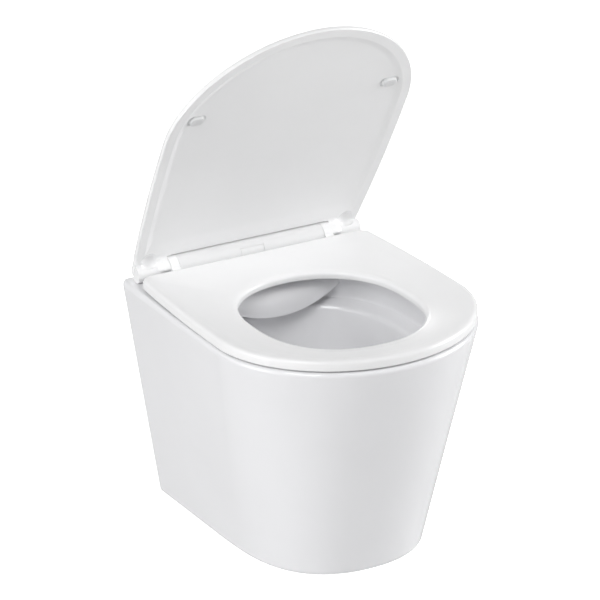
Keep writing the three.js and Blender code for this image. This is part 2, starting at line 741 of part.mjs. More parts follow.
function buildSeatFixing(side, name) {
  const holeX = side * seatHoleX;
  const postX = side * pillarX;
  const centreX = side * plateCentreX;
  const y = -hingeToWall;
  const boltGap = boltRadius + runningGap;
  const sinkGap = boltHeadRadius + runningGap;
  const gasketLength = plateLength - 2 * gasketMargin;
  const gasketWidth = plateWidth - 2 * gasketMargin;
  const gasket = planProfile(slotOutline(centreX, y, gasketLength, gasketWidth), gasketLow, gasketHigh)
    .subtract(uprightRod(holeX, gasketLow - overrun, gasketHigh + overrun, boltGap));
  piece(`${name}_gasket`, gasket, darkRubber);
  const sinkLow = plateHigh - boltHeadRadius + boltRadius;
  const plate = planProfile(slotOutline(centreX, y, plateLength, plateWidth), plateLow, plateHigh)
    .subtract(uprightRod(holeX, plateLow - overrun, plateHigh + overrun, boltGap))
    .subtract(turnedUp([
      [0, sinkLow], [boltGap, sinkLow], [sinkGap, plateHigh],
      [sinkGap, plateHigh + overrun], [0, plateHigh + overrun],
    ], holeX, y))
    .subtract(uprightRod(postX, plateLow - overrun, plateHigh + overrun, pillarFootRadius + runningGap));
  piece(`${name}_base_plate`, plate, steel);
  const top = rimHeight + pillarTop;
  const footHigh = plateHigh + glazeGap;
  const post = turnedUp([
    [0, plateLow], [pillarFootRadius, plateLow], [pillarFootRadius, footHigh], [pillarRadius, footHigh],
    [pillarRadius, clipHeight - neckHalf], [neckRadius, clipHeight - neckHalf],
    [neckRadius, clipHeight + neckHalf], [pillarRadius, clipHeight + neckHalf],
    [pillarRadius, top - pillarTaper], [neckRadius, top], [0, top],
  ], postX, y);
  piece(`${name}_pillar`, post, steel);
  const headTop = plateHigh - glazeGap;
  const boltLow = rimHeight - boltLength;
  const bolt = turnedUp([
    [0, boltLow], [boltRadius, boltLow], [boltRadius, headTop - boltHeadRadius + boltRadius],
    [boltHeadRadius, headTop], [0, headTop],
  ], holeX, y);
  piece(`${name}_seat_bolt`, bolt, steel);
  const plugTop = rimHeight - glazeGap;
  const deckUnder = rimHeight - panDeck;
  const bulge = seatHoleRadius + plugBulge;
  const stem = seatHoleRadius - runningGap;
  const nutLow = boltLow + boltTail;
  const nutHigh = nutLow + plugNutThickness;
  const plugLow = nutHigh + glazeGap;
  const plug = turnedUp([
    [boltGap, plugLow], [seatHoleRadius, plugLow], [bulge, (plugLow + deckUnder) / 2],
    [bulge, deckUnder - 2 * glazeGap], [stem, deckUnder - glazeGap], [stem, plugTop], [boltGap, plugTop],
    [boltGap, plugLow],
  ], holeX, y);
  piece(`${name}_expansion_plug`, plug, rubber);
  const nutBody = uprightRod(holeX, nutLow, nutHigh, seatHoleRadius - runningGap, hexSides)
    .subtract(uprightRod(holeX, nutLow - overrun, nutHigh + overrun, boltRadius + glazeGap));
  piece(`${name}_plug_nut`, nutBody, steel);
}

// Hinge bar: a barrel that clips over the two pillars, with a damper in each end
const clipOuter = pillarRadius + clipThickness / 2;
const clipSlotHalf = clipThickness / 2 + runningGap;
const pusherHalf = pillarX - pusherToPillar;
const pusherBack = neckRadius;
const buttonLow = -barrelRadius * Math.sin(buttonLowAngle * degree);
const buttonHigh = barrelRadius * Math.sin(buttonHighAngle * degree);

// The round part of a section about the hinge axis, between two angles, in a side view
function arc(radius, fromAngle, toAngle, steps) {
  const points = [];
  for (let k = 0; k <= steps; k += 1) {
    const angle = (fromAngle + ((toAngle - fromAngle) * k) / steps) * degree;
    points.push([hingeToWall + radius * Math.cos(angle), axisHeight + radius * Math.sin(angle)]);
  }
  return points;
}

const skirtLow = rimHeight + skirtGap;
const skirtAngle = Math.asin((axisHeight - skirtLow) / barrelRadius) / degree;

function barrelSection(radius) {
  return arc(radius, -skirtAngle, fullTurn / 2 + skirtAngle, roundSteps);
}

function axisPoint(x) {
  return new THREE.Vector3(x, -hingeToWall, axisHeight);
}

function buttonBlock(clearance) {
  const reach = buttonHalf + clearance;
  return box(
    new THREE.Vector3(-reach, -hingeToWall - barrelRadius - overrun, axisHeight + buttonLow - clearance),
    new THREE.Vector3(reach, -hingeToWall - buttonSeat + clearance, axisHeight + buttonHigh + clearance),
  );
}

function buildHingeBar() {
  const y = -hingeToWall;
  const slotLow = clipHeight - clipSlotHalf;
  const slotHigh = clipHeight + clipSlotHalf;
  const bottom = skirtLow - overrun;
  let barrel = sideProfile(barrelSection(barrelRadius), -barrelHalf, barrelHalf);
  for (const side of [-1, 1]) {
    const postX = side * pillarX;
    barrel = barrel.subtract(planProfile(
      slotOutline(side * plateCentreX, y, plateLength + 2 * runningGap, plateWidth + 2 * runningGap),
      bottom, plateHigh + runningGap,
    ));
    barrel = barrel.subtract(uprightRod(
      postX, bottom, rimHeight + pillarTop + runningGap, pillarRadius + runningGap,
    ));
    const boreEnd = side * (barrelHalf - damperLength - runningGap);
    barrel = barrel.subtract(rod(
      axisPoint(boreEnd), axisPoint(side * (barrelHalf + overrun)), damperRadius + runningGap,
    ));
    const clipSpace = clipOuter + runningGap;
    const inner = side * (pusherHalf - runningGap);
    const outer = side * (pillarX + clipSpace);
    barrel = barrel.subtract(box(
      new THREE.Vector3(Math.min(inner, outer), y - clipSpace, slotLow),
      new THREE.Vector3(Math.max(inner, outer), y + clipSpace, slotHigh),
    ));
  }
  const slotHalf = pusherHalf + runningGap;
  barrel = barrel.subtract(box(
    new THREE.Vector3(-slotHalf, y - pusherBack - runningGap - pusherSlotReach, slotLow),
    new THREE.Vector3(slotHalf, y + pusherBack + runningGap, slotHigh),
  ));
  for (const [side, name] of [[-1, 'left'], [1, 'right']]) {
    const x = (side * springSpacing) / 2;
    const end = y + springReach;
    barrel = barrel.subtract(wallRod(x, clipHeight, y + pusherBack, end, clipSlotHalf + runningGap));
    const start = y - pusherBack + buttonTravel + 2 * glazeGap;
    piece(`${name}_button_spring`, wallRod(x, clipHeight, start, end - glazeGap, clipSlotHalf), steel);
  }
  piece('hinge_barrel', barrel.subtract(buttonBlock(runningGap)), hingePlastic);

  const faceBack = y - buttonSeat - buttonTravel;
  const button = sideProfile(barrelSection(barrelRadius), -buttonHalf, buttonHalf)
    .intersect(buttonBlock(0))
    .subtract(box(
      new THREE.Vector3(-2 * buttonHalf, faceBack, panBase),
      new THREE.Vector3(2 * buttonHalf, y, 2 * axisHeight),
    ));
  piece('release_button', button, hingePlastic);
  const low = clipHeight - clipThickness / 2;
  const high = clipHeight + clipThickness / 2;
  const barBack = y - pusherBack + buttonTravel - glazeGap;
  const stemHalf = buttonHalf - overrun;
  const pusher = box(
    new THREE.Vector3(-stemHalf, faceBack + glazeGap, low), new THREE.Vector3(stemHalf, barBack, high),
  ).add(box(
    new THREE.Vector3(-pusherHalf, y - pusherBack, low), new THREE.Vector3(pusherHalf, barBack, high),
  ));
  piece('pusher_bar', pusher, greyPlastic);
}

function buildHingeEnd(side, name, shaftGroup) {
  const y = -hingeToWall;
  const postX = side * pillarX;
  const ring = uprightRod(postX, clipHeight - clipThickness / 2, clipHeight + clipThickness / 2, clipOuter)
    .subtract(uprightRod(postX, rimHeight, rimHeight + pillarTop, neckRadius + runningGap));
  const mouth = box(
    new THREE.Vector3(Math.min(0, postX), y - neckRadius / 2, rimHeight),
    new THREE.Vector3(Math.max(0, postX), y + neckRadius / 2, rimHeight + pillarTop),
  );
  piece(`${name}_lock_clip`, ring.subtract(mouth), steel);
  const damperEnd = side * (barrelHalf - glazeGap);
  const damperStart = side * (barrelHalf - damperLength);
  const shaftStart = side * (barrelHalf - damperLength / 3);
  const damper = rod(axisPoint(damperStart), axisPoint(damperEnd), damperRadius)
    .subtract(rod(axisPoint(shaftStart), axisPoint(side * (barrelHalf + overrun)), shaftRadius + runningGap));
  piece(`${name}_damper`, damper, greyPlastic);
  const shaft = rod(axisPoint(shaftStart + side * runningGap), axisPoint(side * shaftReach), shaftRadius);
  piece(`${name}_damper_shaft`, shaft, steel, shaftGroup);
}

// Seat: a dished ring with a soft inner roll and a hinge knuckle on each side
const seatBodyLow = rimHeight + seatUnder;
const seatBodyHigh = rimHeight + seatTop;
const lipDepthInner = rimHeight - seatLip;

function seatOuter() {
  const outline = dOutline(seatHalf, seatLength, seatCurveStart, seatShapeShares, seatBack, seatCornerRound);
  const half = outline[0].x;
  const back = [];
  for (let k = 1; k < cornerSteps * 2; k += 1) {
    back.push(new THREE.Vector2(-half + (2 * half * k) / (cornerSteps * 2), seatBack));
  }
  return [...outline, ...back];
}

// The point of the opening's edge that lies in the same direction from its middle
function openingPoint(p) {
  const middle = (openingBack + openingFront) / 2;
  const reach = (openingFront - openingBack) / 2;
  const dx = Math.abs(p.x) / openingHalf;
  const dy = Math.abs(p.y - middle) / reach;
  let low = 0;
  let high = 1;
  for (let k = 0; k < roundSteps * 2; k += 1) {
    const share = (low + high) / 2;
    const size = (share * dx) ** openingShapeShares.q + (share * dy) ** openingShapeShares.p;
    if (size > 1) high = share;
    else low = share;
  }
  return new THREE.Vector2(p.x * low, middle + (p.y - middle) * low);
}

function seatSection(outer) {
  const inner = openingPoint(outer);
  const width = outer.distanceTo(inner);
  const at = (fromOuter, height) => {
    const p = outer.clone().lerp(inner, fromOuter / width);
    return ahead(p.x, p.y, height);
  };
  const rise = seatBodyHigh - seatBodyLow;
  const innerTop = seatBodyHigh - seatDish;
  return [
    ...seatEdgeShares.map(([out, up]) => at(seatOuterRoll * out, seatBodyLow + rise * up)),
    ...seatTopShares.map(([out, down]) => at(width * out, seatBodyHigh - seatDish * down)),
    ...openingRollShares.map(([out, down]) => at(width - openingRoll * out, innerTop - openingRoll * down)),
    at(width - openingRoll * openingLipShares.edge, lipDepthInner),
    at(width - openingRoll * openingLipShares.back, lipDepthInner),
    at(width - openingRoll * openingLipShares.root, seatBodyLow),
  ];
}

function knuckleSection() {
  const front = hingeToWall + seatBack + overrun;
  return [
    [front, seatBodyHigh - knuckleRootDrop],
    ...arc(barrelRadius, knuckleFrontAngle, knuckleBackAngle, smallSteps / 2),
    ...arc(earRadius, knuckleHookAngle, knuckleFootAngle, smallSteps / 2),
    [front, seatBodyLow + overrun],
  ];
}

function buildSeat() {
  let ring = hoop(seatOuter().map(seatSection));
  for (const side of [-1, 1]) {
    const low = Math.min(side * knuckleInner, side * knuckleOuter);
    const high = Math.max(side * knuckleInner, side * knuckleOuter);
    ring = ring.add(sideProfile(knuckleSection(), low, high));
    ring = ring.subtract(rod(axisPoint(low - overrun), axisPoint(high + overrun), shaftRadius + runningGap));
  }
  for (const [end, share] of Object.entries(seatBumperShares)) {
    for (const [side, name] of [[-1, 'left'], [1, 'right']]) {
      const forward = seatLength * share;
      const edge = outlineHalf(forward, seatHalf, seatLength, seatCurveStart, seatShapeShares);
      const x = side * (edge - seatBumperInset);
      const outline = (length, width) => slotOutline(x, -forward - hingeToWall, length, width);
      const socket = planProfile(
        outline(seatBumperPinLength + 2 * runningGap, seatBumperPinWidth + 2 * runningGap),
        seatBodyLow - overrun, seatBodyLow + bumperHeight + glazeGap,
      );
      const padLow = rimHeight + glazeGap;
      const pin = outline(seatBumperPinLength, seatBumperPinWidth);
      const pad = planProfile(outline(seatBumperLength, seatBumperWidth), padLow, seatBodyLow - glazeGap)
        .add(planProfile(pin, padLow, seatBodyLow + bumperHeight));
      ring = ring.subtract(socket);
      piece(`${end}_${name}_seat_bumper`, pad, rubber);
    }
  }
  piece('seat_ring', ring, seatResin);
}

// Lid: modelled shut about the hinge axis, then turned open
const lidGroup = new THREE.Group();
lidGroup.position.set(0, -hingeToWall, axisHeight);
lidGroup.rotation.x = -lidOpenAngle * degree;
toilet.add(lidGroup);
const lidHigh = lidUnder + lidThickness;

function lidRing(outline, distance, height) {
  return inset(outline, distance).map((p) => new THREE.Vector3(p.x, -p.y, height));
}

function lidForm() {
  const outline = dOutline(
    lidHalf, lidLength, seatCurveStart, seatShapeShares, -earRadius - overrun, runningGap,
  );
  const rows = [
    [0, -earRadius - overrun], [0, lidUnder - overrun],
    [lidEdgeEase, lidUnder], [0, lidUnder + lidEdgeEase], [0, lidHigh - lidCrown],
    ...lidCrownShares.map(([out, down]) => [lidCrown * out, lidHigh - lidCrown * down]),
  ];
  const form = loft(rows.map(([distance, height]) => lidRing(outline, distance, height)));
  const shift = ([forward, height]) => [forward - hingeToWall, height - axisHeight];
  const underAngle = Math.asin(lidUnder / earRadius) / degree;
  const back = arc(earRadius, fullTurn / 4, fullTurn + underAngle, roundSteps).map(shift);
  const rearFront = hingeToWall + lidRearSlope;
  const section = [
    [lidLength + overrun, lidUnder], [lidLength + overrun, lidHigh + overrun],
    [rearFront, lidHigh + overrun], [rearFront, lidHigh], [hingeToWall, earRadius], ...back,
  ];
  return form.intersect(sideProfile(section, -lidHalf - overrun, lidHalf + overrun));
}

function lidHollow() {
  const notchFront = Math.sqrt(lidNotchRadius ** 2 - lidUnder ** 2);
  const outline = dOutline(lidHalf, lidLength, seatCurveStart, seatShapeShares, notchFront, seatCornerRound);
  const rows = [
    [lidRim, lidUnder - overrun], [lidRim, lidUnder], [lidRim + lidRimSlope, lidUnder + lidRecess],
  ];
  return loft(rows.map(([distance, height]) => inset(outline, distance, false).map(
    (p) => new THREE.Vector3(p.x, -Math.max(p.y, notchFront + lidRim / 2 + (distance - lidRim) / 2), height),
  )));
}

function lidNotch() {
  const points = arc(lidNotchRadius, notchLowAngle, notchHighAngle, roundSteps).map(
    ([forward, height]) => [forward - hingeToWall, height - axisHeight],
  );
  const behind = -lidNotchRadius - overrun;
  return sideProfile([...points, [behind, lidNotchRadius], [behind, -lidNotchRadius]], -earInner, earInner);
}

function buildLid() {
  let lid = lidForm().subtract(lidNotch()).subtract(lidHollow());
  const boreReach = shaftReach + runningGap;
  lid = lid.subtract(rod(
    new THREE.Vector3(-boreReach, 0, 0), new THREE.Vector3(boreReach, 0, 0), shaftRadius + runningGap,
  ));
  const forward = lidLength - lidBumperToFront;
  const edge = outlineHalf(forward, lidHalf, lidLength, seatCurveStart, seatShapeShares);
  const socketTop = lidUnder + lidRecess + bumperHeight;
  for (const [side, name] of [[-1, 'left'], [1, 'right']]) {
    const outline = (gap) => slotOutline(
      side * (edge - lidBumperInset), -forward, lidBumperLength + 2 * gap, lidBumperWidth + 2 * gap,
    );
    lid = lid.subtract(planProfile(outline(runningGap), lidUnder - overrun, socketTop));
    const bumper = planProfile(outline(0), lidUnder - lidBumperDrop, socketTop - glazeGap);
    piece(`${name}_lid_bumper`, bumper, rubber, lidGroup);
  }
  piece('lid', lid, seatResin, lidGroup);
}

buildPan();
for (const [side, name] of [[-1, 'left'], [1, 'right']]) {
  buildWallFixing(side, name);
  buildSeatFixing(side, name);
  buildHingeEnd(side, name, toilet);
}
buildHingeBar();
buildSeat();
buildLid();

export default toilet;
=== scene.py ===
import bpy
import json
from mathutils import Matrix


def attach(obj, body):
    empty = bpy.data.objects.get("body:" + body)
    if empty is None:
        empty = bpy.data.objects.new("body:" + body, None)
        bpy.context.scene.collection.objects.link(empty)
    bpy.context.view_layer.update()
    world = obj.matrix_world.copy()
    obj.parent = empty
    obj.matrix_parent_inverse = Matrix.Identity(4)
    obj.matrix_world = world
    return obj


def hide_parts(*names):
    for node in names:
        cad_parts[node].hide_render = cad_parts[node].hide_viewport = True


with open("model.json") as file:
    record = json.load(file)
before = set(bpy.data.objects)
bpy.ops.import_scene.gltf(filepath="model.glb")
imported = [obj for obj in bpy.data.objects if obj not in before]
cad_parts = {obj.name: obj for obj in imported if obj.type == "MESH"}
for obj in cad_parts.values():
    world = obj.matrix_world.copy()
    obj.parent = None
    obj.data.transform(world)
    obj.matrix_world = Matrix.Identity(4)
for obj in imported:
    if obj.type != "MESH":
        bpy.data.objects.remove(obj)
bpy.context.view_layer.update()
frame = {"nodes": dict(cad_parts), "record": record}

import json
import logging
import math
from dataclasses import dataclass, field, replace
from enum import Enum

import bpy
import numpy as np

log = logging.getLogger("toilet")

Piece = bpy.types.Object
Places = np.ndarray | float

MM = 0.001  # every size below is in millimetres, and meshes are written in metres
SIDES = {-1: "left", 1: "right"}


class Body(Enum):
    """The CAD bodies that a piece can ride on."""

    PAN = "pan"
    BAR = "hinge_bar"
    BUTTON = "release_button"
    SEAT = "seat"
    LID = "lid"


class Slot(Enum):
    """The record's material slots."""

    CERAMIC = "glazed_ceramic"
    RESIN = "seat_resin"
    HINGE = "hinge_plastic"
    GREY = "grey_plastic"
    STEEL = "steel"
    BUMPER = "bumper_rubber"
    GASKET = "gasket_rubber"


def add_node(tree: bpy.types.NodeTree, kind: str, values: dict[str | int, float]) -> bpy.types.Node:
    """Adds a shader node and sets its sockets.

    Args:
        tree: The node tree.
        kind: The node's type, after the word ShaderNode.
        values: Values by the socket's name or number.

    Returns:
        The new node.
    """
    made = tree.nodes.new("ShaderNode" + kind)
    for socket, value in values.items():
        made.inputs[socket].default_value = value
    return made


@dataclass(frozen=True)
class Finish:
    """A procedural surface finish read on Object coordinates.

    A soft noise drifts the colour between two near tones. A finer one drifts the roughness
    between two values and gives the relief.
    """

    name: str
    tones: tuple[tuple[float, float, float], tuple[float, float, float]]
    roughness: tuple[float, float]
    drift_scale: float
    grain_scale: float
    relief: float = 0.00002
    metallic: float = 0.0
    coat: float = 0.0
    coat_roughness: float = 0.03

    def material(self) -> bpy.types.Material:
        """Builds the node material.

        Returns:
            The new material.
        """
        made = bpy.data.materials.new(self.name)
        made.use_nodes = True
        tree = made.node_tree
        link = tree.links.new
        shader = tree.nodes["Principled BSDF"]
        shader.inputs["Metallic"].default_value = self.metallic
        shader.inputs["Coat Weight"].default_value = self.coat
        shader.inputs["Coat Roughness"].default_value = self.coat_roughness
        place = add_node(tree, "TexCoord", {})
        drift = add_node(tree, "TexNoise", {"Scale": self.drift_scale, "Detail": 2.0})
        grain = add_node(tree, "TexNoise", {"Scale": self.grain_scale, "Detail": 3.0})
        for noise in (drift, grain):
            link(place.outputs["Object"], noise.inputs["Vector"])
        ramp = add_node(tree, "ValToRGB", {})
        for element, position, tone in zip(ramp.color_ramp.elements, (0.3, 0.7), self.tones):
            element.position = position
            element.color = (*tone, 1.0)
        link(drift.outputs["Fac"], ramp.inputs["Fac"])
        link(ramp.outputs["Color"], shader.inputs["Base Color"])
        spread = add_node(tree, "MapRange", {"To Min": self.roughness[0], "To Max": self.roughness[1]})
        link(grain.outputs["Fac"], spread.inputs["Value"])
        link(spread.outputs["Result"], shader.inputs["Roughness"])
        bump = add_node(tree, "Bump", {"Strength": 1.0, "Distance": self.relief})
        link(grain.outputs["Fac"], bump.inputs["Height"])
        link(bump.outputs["Normal"], shader.inputs["Normal"])
        return made


FINISHES = {
    Slot.CERAMIC: Finish(
        "white_glaze", ((0.855, 0.856, 0.872), (0.875, 0.876, 0.892)), (0.07, 0.12), 7.0, 26.0,
        relief=0.00004, coat=0.25, coat_roughness=0.02,
    ),
    Slot.RESIN: Finish(
        "white_resin", ((0.905, 0.906, 0.91), (0.92, 0.921, 0.925)), (0.2, 0.28), 8.0, 90.0, relief=0.00001,
    ),
    Slot.HINGE: Finish(
        "white_hinge_plastic", ((0.78, 0.782, 0.786), (0.80, 0.802, 0.806)), (0.3, 0.38), 20.0, 400.0,
        relief=0.00001,
    ),
    Slot.GREY: Finish(
        "grey_moulding", ((0.21, 0.22, 0.235), (0.24, 0.25, 0.265)), (0.42, 0.55), 40.0, 500.0,
    ),
    Slot.STEEL: Finish(
        "stainless_steel", ((0.56, 0.57, 0.58), (0.62, 0.63, 0.64)), (0.24, 0.36), 60.0, 900.0,
        relief=0.000006, metallic=1.0,
    ),
    Slot.BUMPER: Finish(
        "white_rubber", ((0.72, 0.725, 0.73), (0.76, 0.765, 0.77)), (0.5, 0.62), 60.0, 700.0,
    ),
    Slot.GASKET: Finish(
        "black_rubber", ((0.012, 0.012, 0.014), (0.02, 0.02, 0.022)), (0.6, 0.75), 60.0, 700.0,
    ),
}


@dataclass(frozen=True)
class Site:
    """The places that all sub-assemblies share."""

    rim: float = 80.0
    hinge_to_wall: float = 21.0
    hinge_above_rim: float = 12.0
    overrun: float = 2.0
    gap: float = 0.3

    @property
    def axis(self) -> float:
        """Height of the hinge axis."""
        return self.rim + self.hinge_above_rim

    def row(self, x: Places, ahead: Places, height: Places) -> np.ndarray:
        """Points in the row frame.

        Args:
            x: Sideways places.
            ahead: Distances ahead of the hinge axis.
            height: Heights above the wall fixings.

        Returns:
            An array with X, Y and Z last.
        """
        x, ahead, height = np.broadcast_arrays(x, ahead, height)
        return np.stack([x, -ahead - self.hinge_to_wall, height], axis=-1)

    def level(self, ring: np.ndarray, height: Places) -> np.ndarray:
        """A plan outline as points in the row frame, at one height or one for each point."""
        return self.row(ring[:, 0], ring[:, 1], height)


SITE = Site()


@dataclass(frozen=True)
class DOutline:
    """A D-shaped plan outline: nearly parallel sides that close in a round front.

    The half-width at a distance v ahead of the hinge is
    half * (1 - taper * ((start - v) / start)^2) * (1 - s^p)^(1/q), with s the share of the
    way from start to front.
    """

    half: float
    front: float
    start: float
    p: float
    q: float
    taper: float
    back: float
    corner: float

    def half_at(self, ahead: np.ndarray, inset: float) -> np.ndarray:
        """Half-width at distances ahead of the hinge axis.

        Args:
            ahead: The distances.
            inset: How far the sides and the front move inwards.

        Returns:
            The half-width at each distance.
        """
        along = np.clip((ahead - self.start) / (self.front - inset - self.start), 0.0, 1.0)
        behind = np.clip((self.start - ahead) / self.start, 0.0, None)
        return (self.half - inset) * (1 - self.taper * behind**2) * (1 - along**self.p) ** (1 / self.q)

    def ring(
        self, inset: float = 0.0, back_inset: float = 0.0, side: int = 110, turn: int = 9, rear: int = 36,
    ) -> np.ndarray:
        """The closed outline from the back left corner round the front.

        Args:
            inset: How far the sides and the front move inwards.
            back_inset: How far the back edge moves forwards.
            side: Points on each side.
            turn: Points on each back corner's round.
            rear: Points across the back edge.

        Returns:
            x and distance ahead of the hinge, counter-clockwise seen from above.
        """
        back = self.back + back_inset
        corner = max(self.corner - inset, 1.0)
        angle = np.linspace(0, np.pi / 2, turn, endpoint=False)
        ahead_turn = back + corner * (1 - np.cos(angle))
        x_turn = self.half_at(ahead_turn, inset) - corner * (1 - np.sin(angle))
        share = np.linspace(0, 1, side + 1)
        ahead_side = back + corner + (self.front - inset - back - corner) * (1 - (1 - share) ** 2)
        x = np.concatenate([x_turn, self.half_at(ahead_side, inset)])
        ahead = np.concatenate([ahead_turn, ahead_side])
        x_rear = np.linspace(x[0], -x[0], rear + 2)[1:-1]
        return np.stack([
            np.concatenate([-x, x[-2::-1], x_rear]),
            np.concatenate([ahead, ahead[-2::-1], np.full(rear, back)]),
        ], axis=-1)


@dataclass(frozen=True)
class Oval:
    """A superellipse plan outline with its own width, back and front."""

    half: float
    back: float
    front: float
    p: float
    q: float

    def toward(self, ring: np.ndarray, spread: float = 0.0) -> np.ndarray:
        """The oval's points in the same directions from its middle as another ring's.

        The share s of each ray solves (s |x| / half)^q + (s |v| / reach)^p = 1, found by
        halving an interval for all points at once.

        Args:
            ring: The other ring's x and distance ahead.
            spread: How far the oval grows.

        Returns:
            x and distance ahead, in the ring's order.
        """
        middle = (self.back + self.front) / 2
        reach = (self.front - self.back) / 2 + spread
        x = ring[:, 0]
        along = ring[:, 1] - middle
        low = np.zeros(len(ring))
        high = np.full(len(ring), 2.0)
        for _ in range(40):
            share = (low + high) / 2
            size = (share * np.abs(x) / (self.half + spread)) ** self.q
            size = size + (share * np.abs(along) / reach) ** self.p
            low = np.where(size > 1, low, share)
            high = np.where(size > 1, share, high)
        return np.stack([x * low, middle + along * low], axis=-1)


def rounded_path(corners: np.ndarray, reach: Places, steps: int) -> np.ndarray:
    """A path whose corners are rounded by quadratic curves.

    Each inner corner V gives (1-t)^2 A + 2t(1-t) V + t^2 B, with A and B the points a
    reach before and after it on its two legs.

    Args:
        corners: The corner points, one row each.
        reach: The reach at each inner corner, or one for all.
        steps: Points on each curve.

    Returns:
        The points of the path, from the first corner to the last.
    """
    inner = corners[1:-1]
    before = corners[:-2] - inner
    after = corners[2:] - inner
    before_length = np.linalg.norm(before, axis=1, keepdims=True)
    after_length = np.linalg.norm(after, axis=1, keepdims=True)
    wanted = np.broadcast_to(reach, len(inner))[:, None]
    keep = np.minimum(wanted, 0.49 * np.minimum(before_length, after_length))
    start = inner + before / before_length * keep
    end = inner + after / after_length * keep
    t = np.linspace(0, 1, steps)[None, :, None]
    curve = (1 - t) ** 2 * start[:, None] + 2 * t * (1 - t) * inner[:, None] + t**2 * end[:, None]
    return np.concatenate([corners[:1], curve.reshape(-1, corners.shape[1]), corners[-1:]])


def quarter(steps: int) -> np.ndarray:
    """Angles of a quarter turn."""
    return np.linspace(0, np.pi / 2, steps)


def arc_points(radius: float, start: float, end: float, count: int) -> np.ndarray:
    """Points of a side view on a round about the hinge axis, between two angles."""
    angle = np.radians(np.linspace(start, end, count))
    return np.stack([radius * np.cos(angle), SITE.axis + radius * np.sin(angle)], axis=-1)


def stadium(x: float, ahead: float, length: float, width: float, steps: int = 16) -> np.ndarray:
    """A slot-shaped outline, long in x, counter-clockwise seen from above.

    Args:
        x: Sideways place of its middle.
        ahead: Distance of its middle ahead of the hinge axis.
        length: Its length.
        width: Its width.
        steps: Points on each round end.

    Returns:
        x and distance ahead of each point.
    """
    radius = width / 2
    reach = length / 2 - radius
    angle = np.linspace(-np.pi / 2, np.pi / 2, steps)
    right = np.stack([x + reach + radius * np.cos(angle), ahead - radius * np.sin(angle)], axis=-1)
    left = np.stack([x - reach - radius * np.cos(angle), ahead + radius * np.sin(angle)], axis=-1)
    return np.concatenate([right, left])


def ring_quads(rows: int, columns: int, close_rows: bool = False) -> np.ndarray:
    """Quads of a grid whose columns close round, facing out when rings run
    counter-clockwise seen from above and rows rise.

    Args:
        rows: Rows of points.
        columns: Points in a row.
        close_rows: Whether the last row joins the first.

    Returns:
        Four corner numbers a row.
    """
    row = np.arange(rows if close_rows else rows - 1)[:, None]
    column = np.arange(columns)[None, :]
    after = (column + 1) % columns
    low, high = row * columns, ((row + 1) % rows) * columns
    return np.stack([low + column, low + after, high + after, high + column], axis=-1).reshape(-1, 4)


def write_mesh(name: str, points: np.ndarray, *faces: np.ndarray) -> Piece:
    """A mesh object in the scene, from points in millimetres.

    Args:
        name: The object's name.
        points: Points, with three numbers last.
        *faces: Arrays of corner numbers, one face a row, each array with its own number
            of corners.

    Returns:
        The new object, at the origin.
    """
    mesh = bpy.data.meshes.new(name)
    points = np.asarray(points, float).reshape(-1, 3) * MM
    corners = np.concatenate([array.ravel() for array in faces]).astype(np.int32)
    sizes = np.concatenate([np.full(len(array), array.shape[1]) for array in faces])
    mesh.vertices.add(len(points))
    mesh.vertices.foreach_set("co", points.ravel())
    mesh.loops.add(len(corners))
    mesh.loops.foreach_set("vertex_index", corners)
    mesh.polygons.add(len(sizes))
    mesh.polygons.foreach_set("loop_start", np.concatenate([[0], np.cumsum(sizes)[:-1]]).astype(np.int32))
    mesh.update(calc_edges=True)
    mesh.validate()
    made = bpy.data.objects.new(name, mesh)
    bpy.context.scene.collection.objects.link(made)
    return made


def read_points(mesh: bpy.types.Mesh) -> np.ndarray:
    """Reads a mesh's points.

    Args:
        mesh: The mesh.

    Returns:
        Its points in metres, one a row.
    """
    points = np.empty(len(mesh.vertices) * 3)
    mesh.vertices.foreach_get("co", points)
    return points.reshape(-1, 3)


def face_out(piece: Piece) -> Piece:
    """Makes a closed mesh's faces point outwards, where its triangles enclose a negative
    volume: a sixth of the sum of a . (b x c).

    Args:
        piece: The piece.

    Returns:
        The same piece.
    """
    mesh = piece.data
    mesh.calc_loop_triangles()
    corners = np.empty(len(mesh.loop_triangles) * 3, np.int32)
    mesh.loop_triangles.foreach_get("vertices", corners)
    a, b, c = read_points(mesh)[corners.reshape(-1, 3)].transpose(1, 0, 2)
    if np.einsum("ij,ij->i", a, np.cross(b, c)).sum() < 0:
        mesh.flip_normals()
    return piece


def closed_stack(name: str, rings: np.ndarray, poles: np.ndarray | None = None) -> Piece:
    """A closed surface through a stack of rings, with a fan to a pole at each end.

    Args:
        name: The object's name.
        rings: Rows, columns and coordinates.
        poles: The points that close the first and the last ring, or None for their means.

    Returns:
        The new object.
    """
    rows, columns = rings.shape[:2]
    if poles is None:
        poles = rings[[0, -1]].mean(axis=1)
    around = np.arange(columns)
    after = (around + 1) % columns
    last = (rows - 1) * columns
    low = np.stack([after, around, np.full(columns, rows * columns)], axis=-1)
    high = np.stack([last + around, last + after, np.full(columns, rows * columns + 1)], axis=-1)
    points = np.concatenate([rings.reshape(-1, 3), poles])
    return face_out(write_mesh(name, points, ring_quads(rows, columns), np.concatenate([low, high])))


def capped_stack(name: str, rings: np.ndarray) -> Piece:
    """A closed surface through a stack of plane rings, with one flat face at each end.

    Args:
        name: The object's name.
        rings: Rows, columns and coordinates.

    Returns:
        The new object.
    """
    rows, columns = rings.shape[:2]
    around = np.arange(columns)
    caps = np.stack([around[::-1], around + columns * (rows - 1)])
    return face_out(write_mesh(name, rings, ring_quads(rows, columns), caps))


def side_prism(name: str, outline: np.ndarray, half: float, middle: float = 0.0) -> Piece:
    """A prism of a side view, from a half-length on one side of its middle to the other."""
    ends = [SITE.row(x, outline[:, 0], outline[:, 1]) for x in (middle - half, middle + half)]
    return capped_stack(name, np.stack(ends))


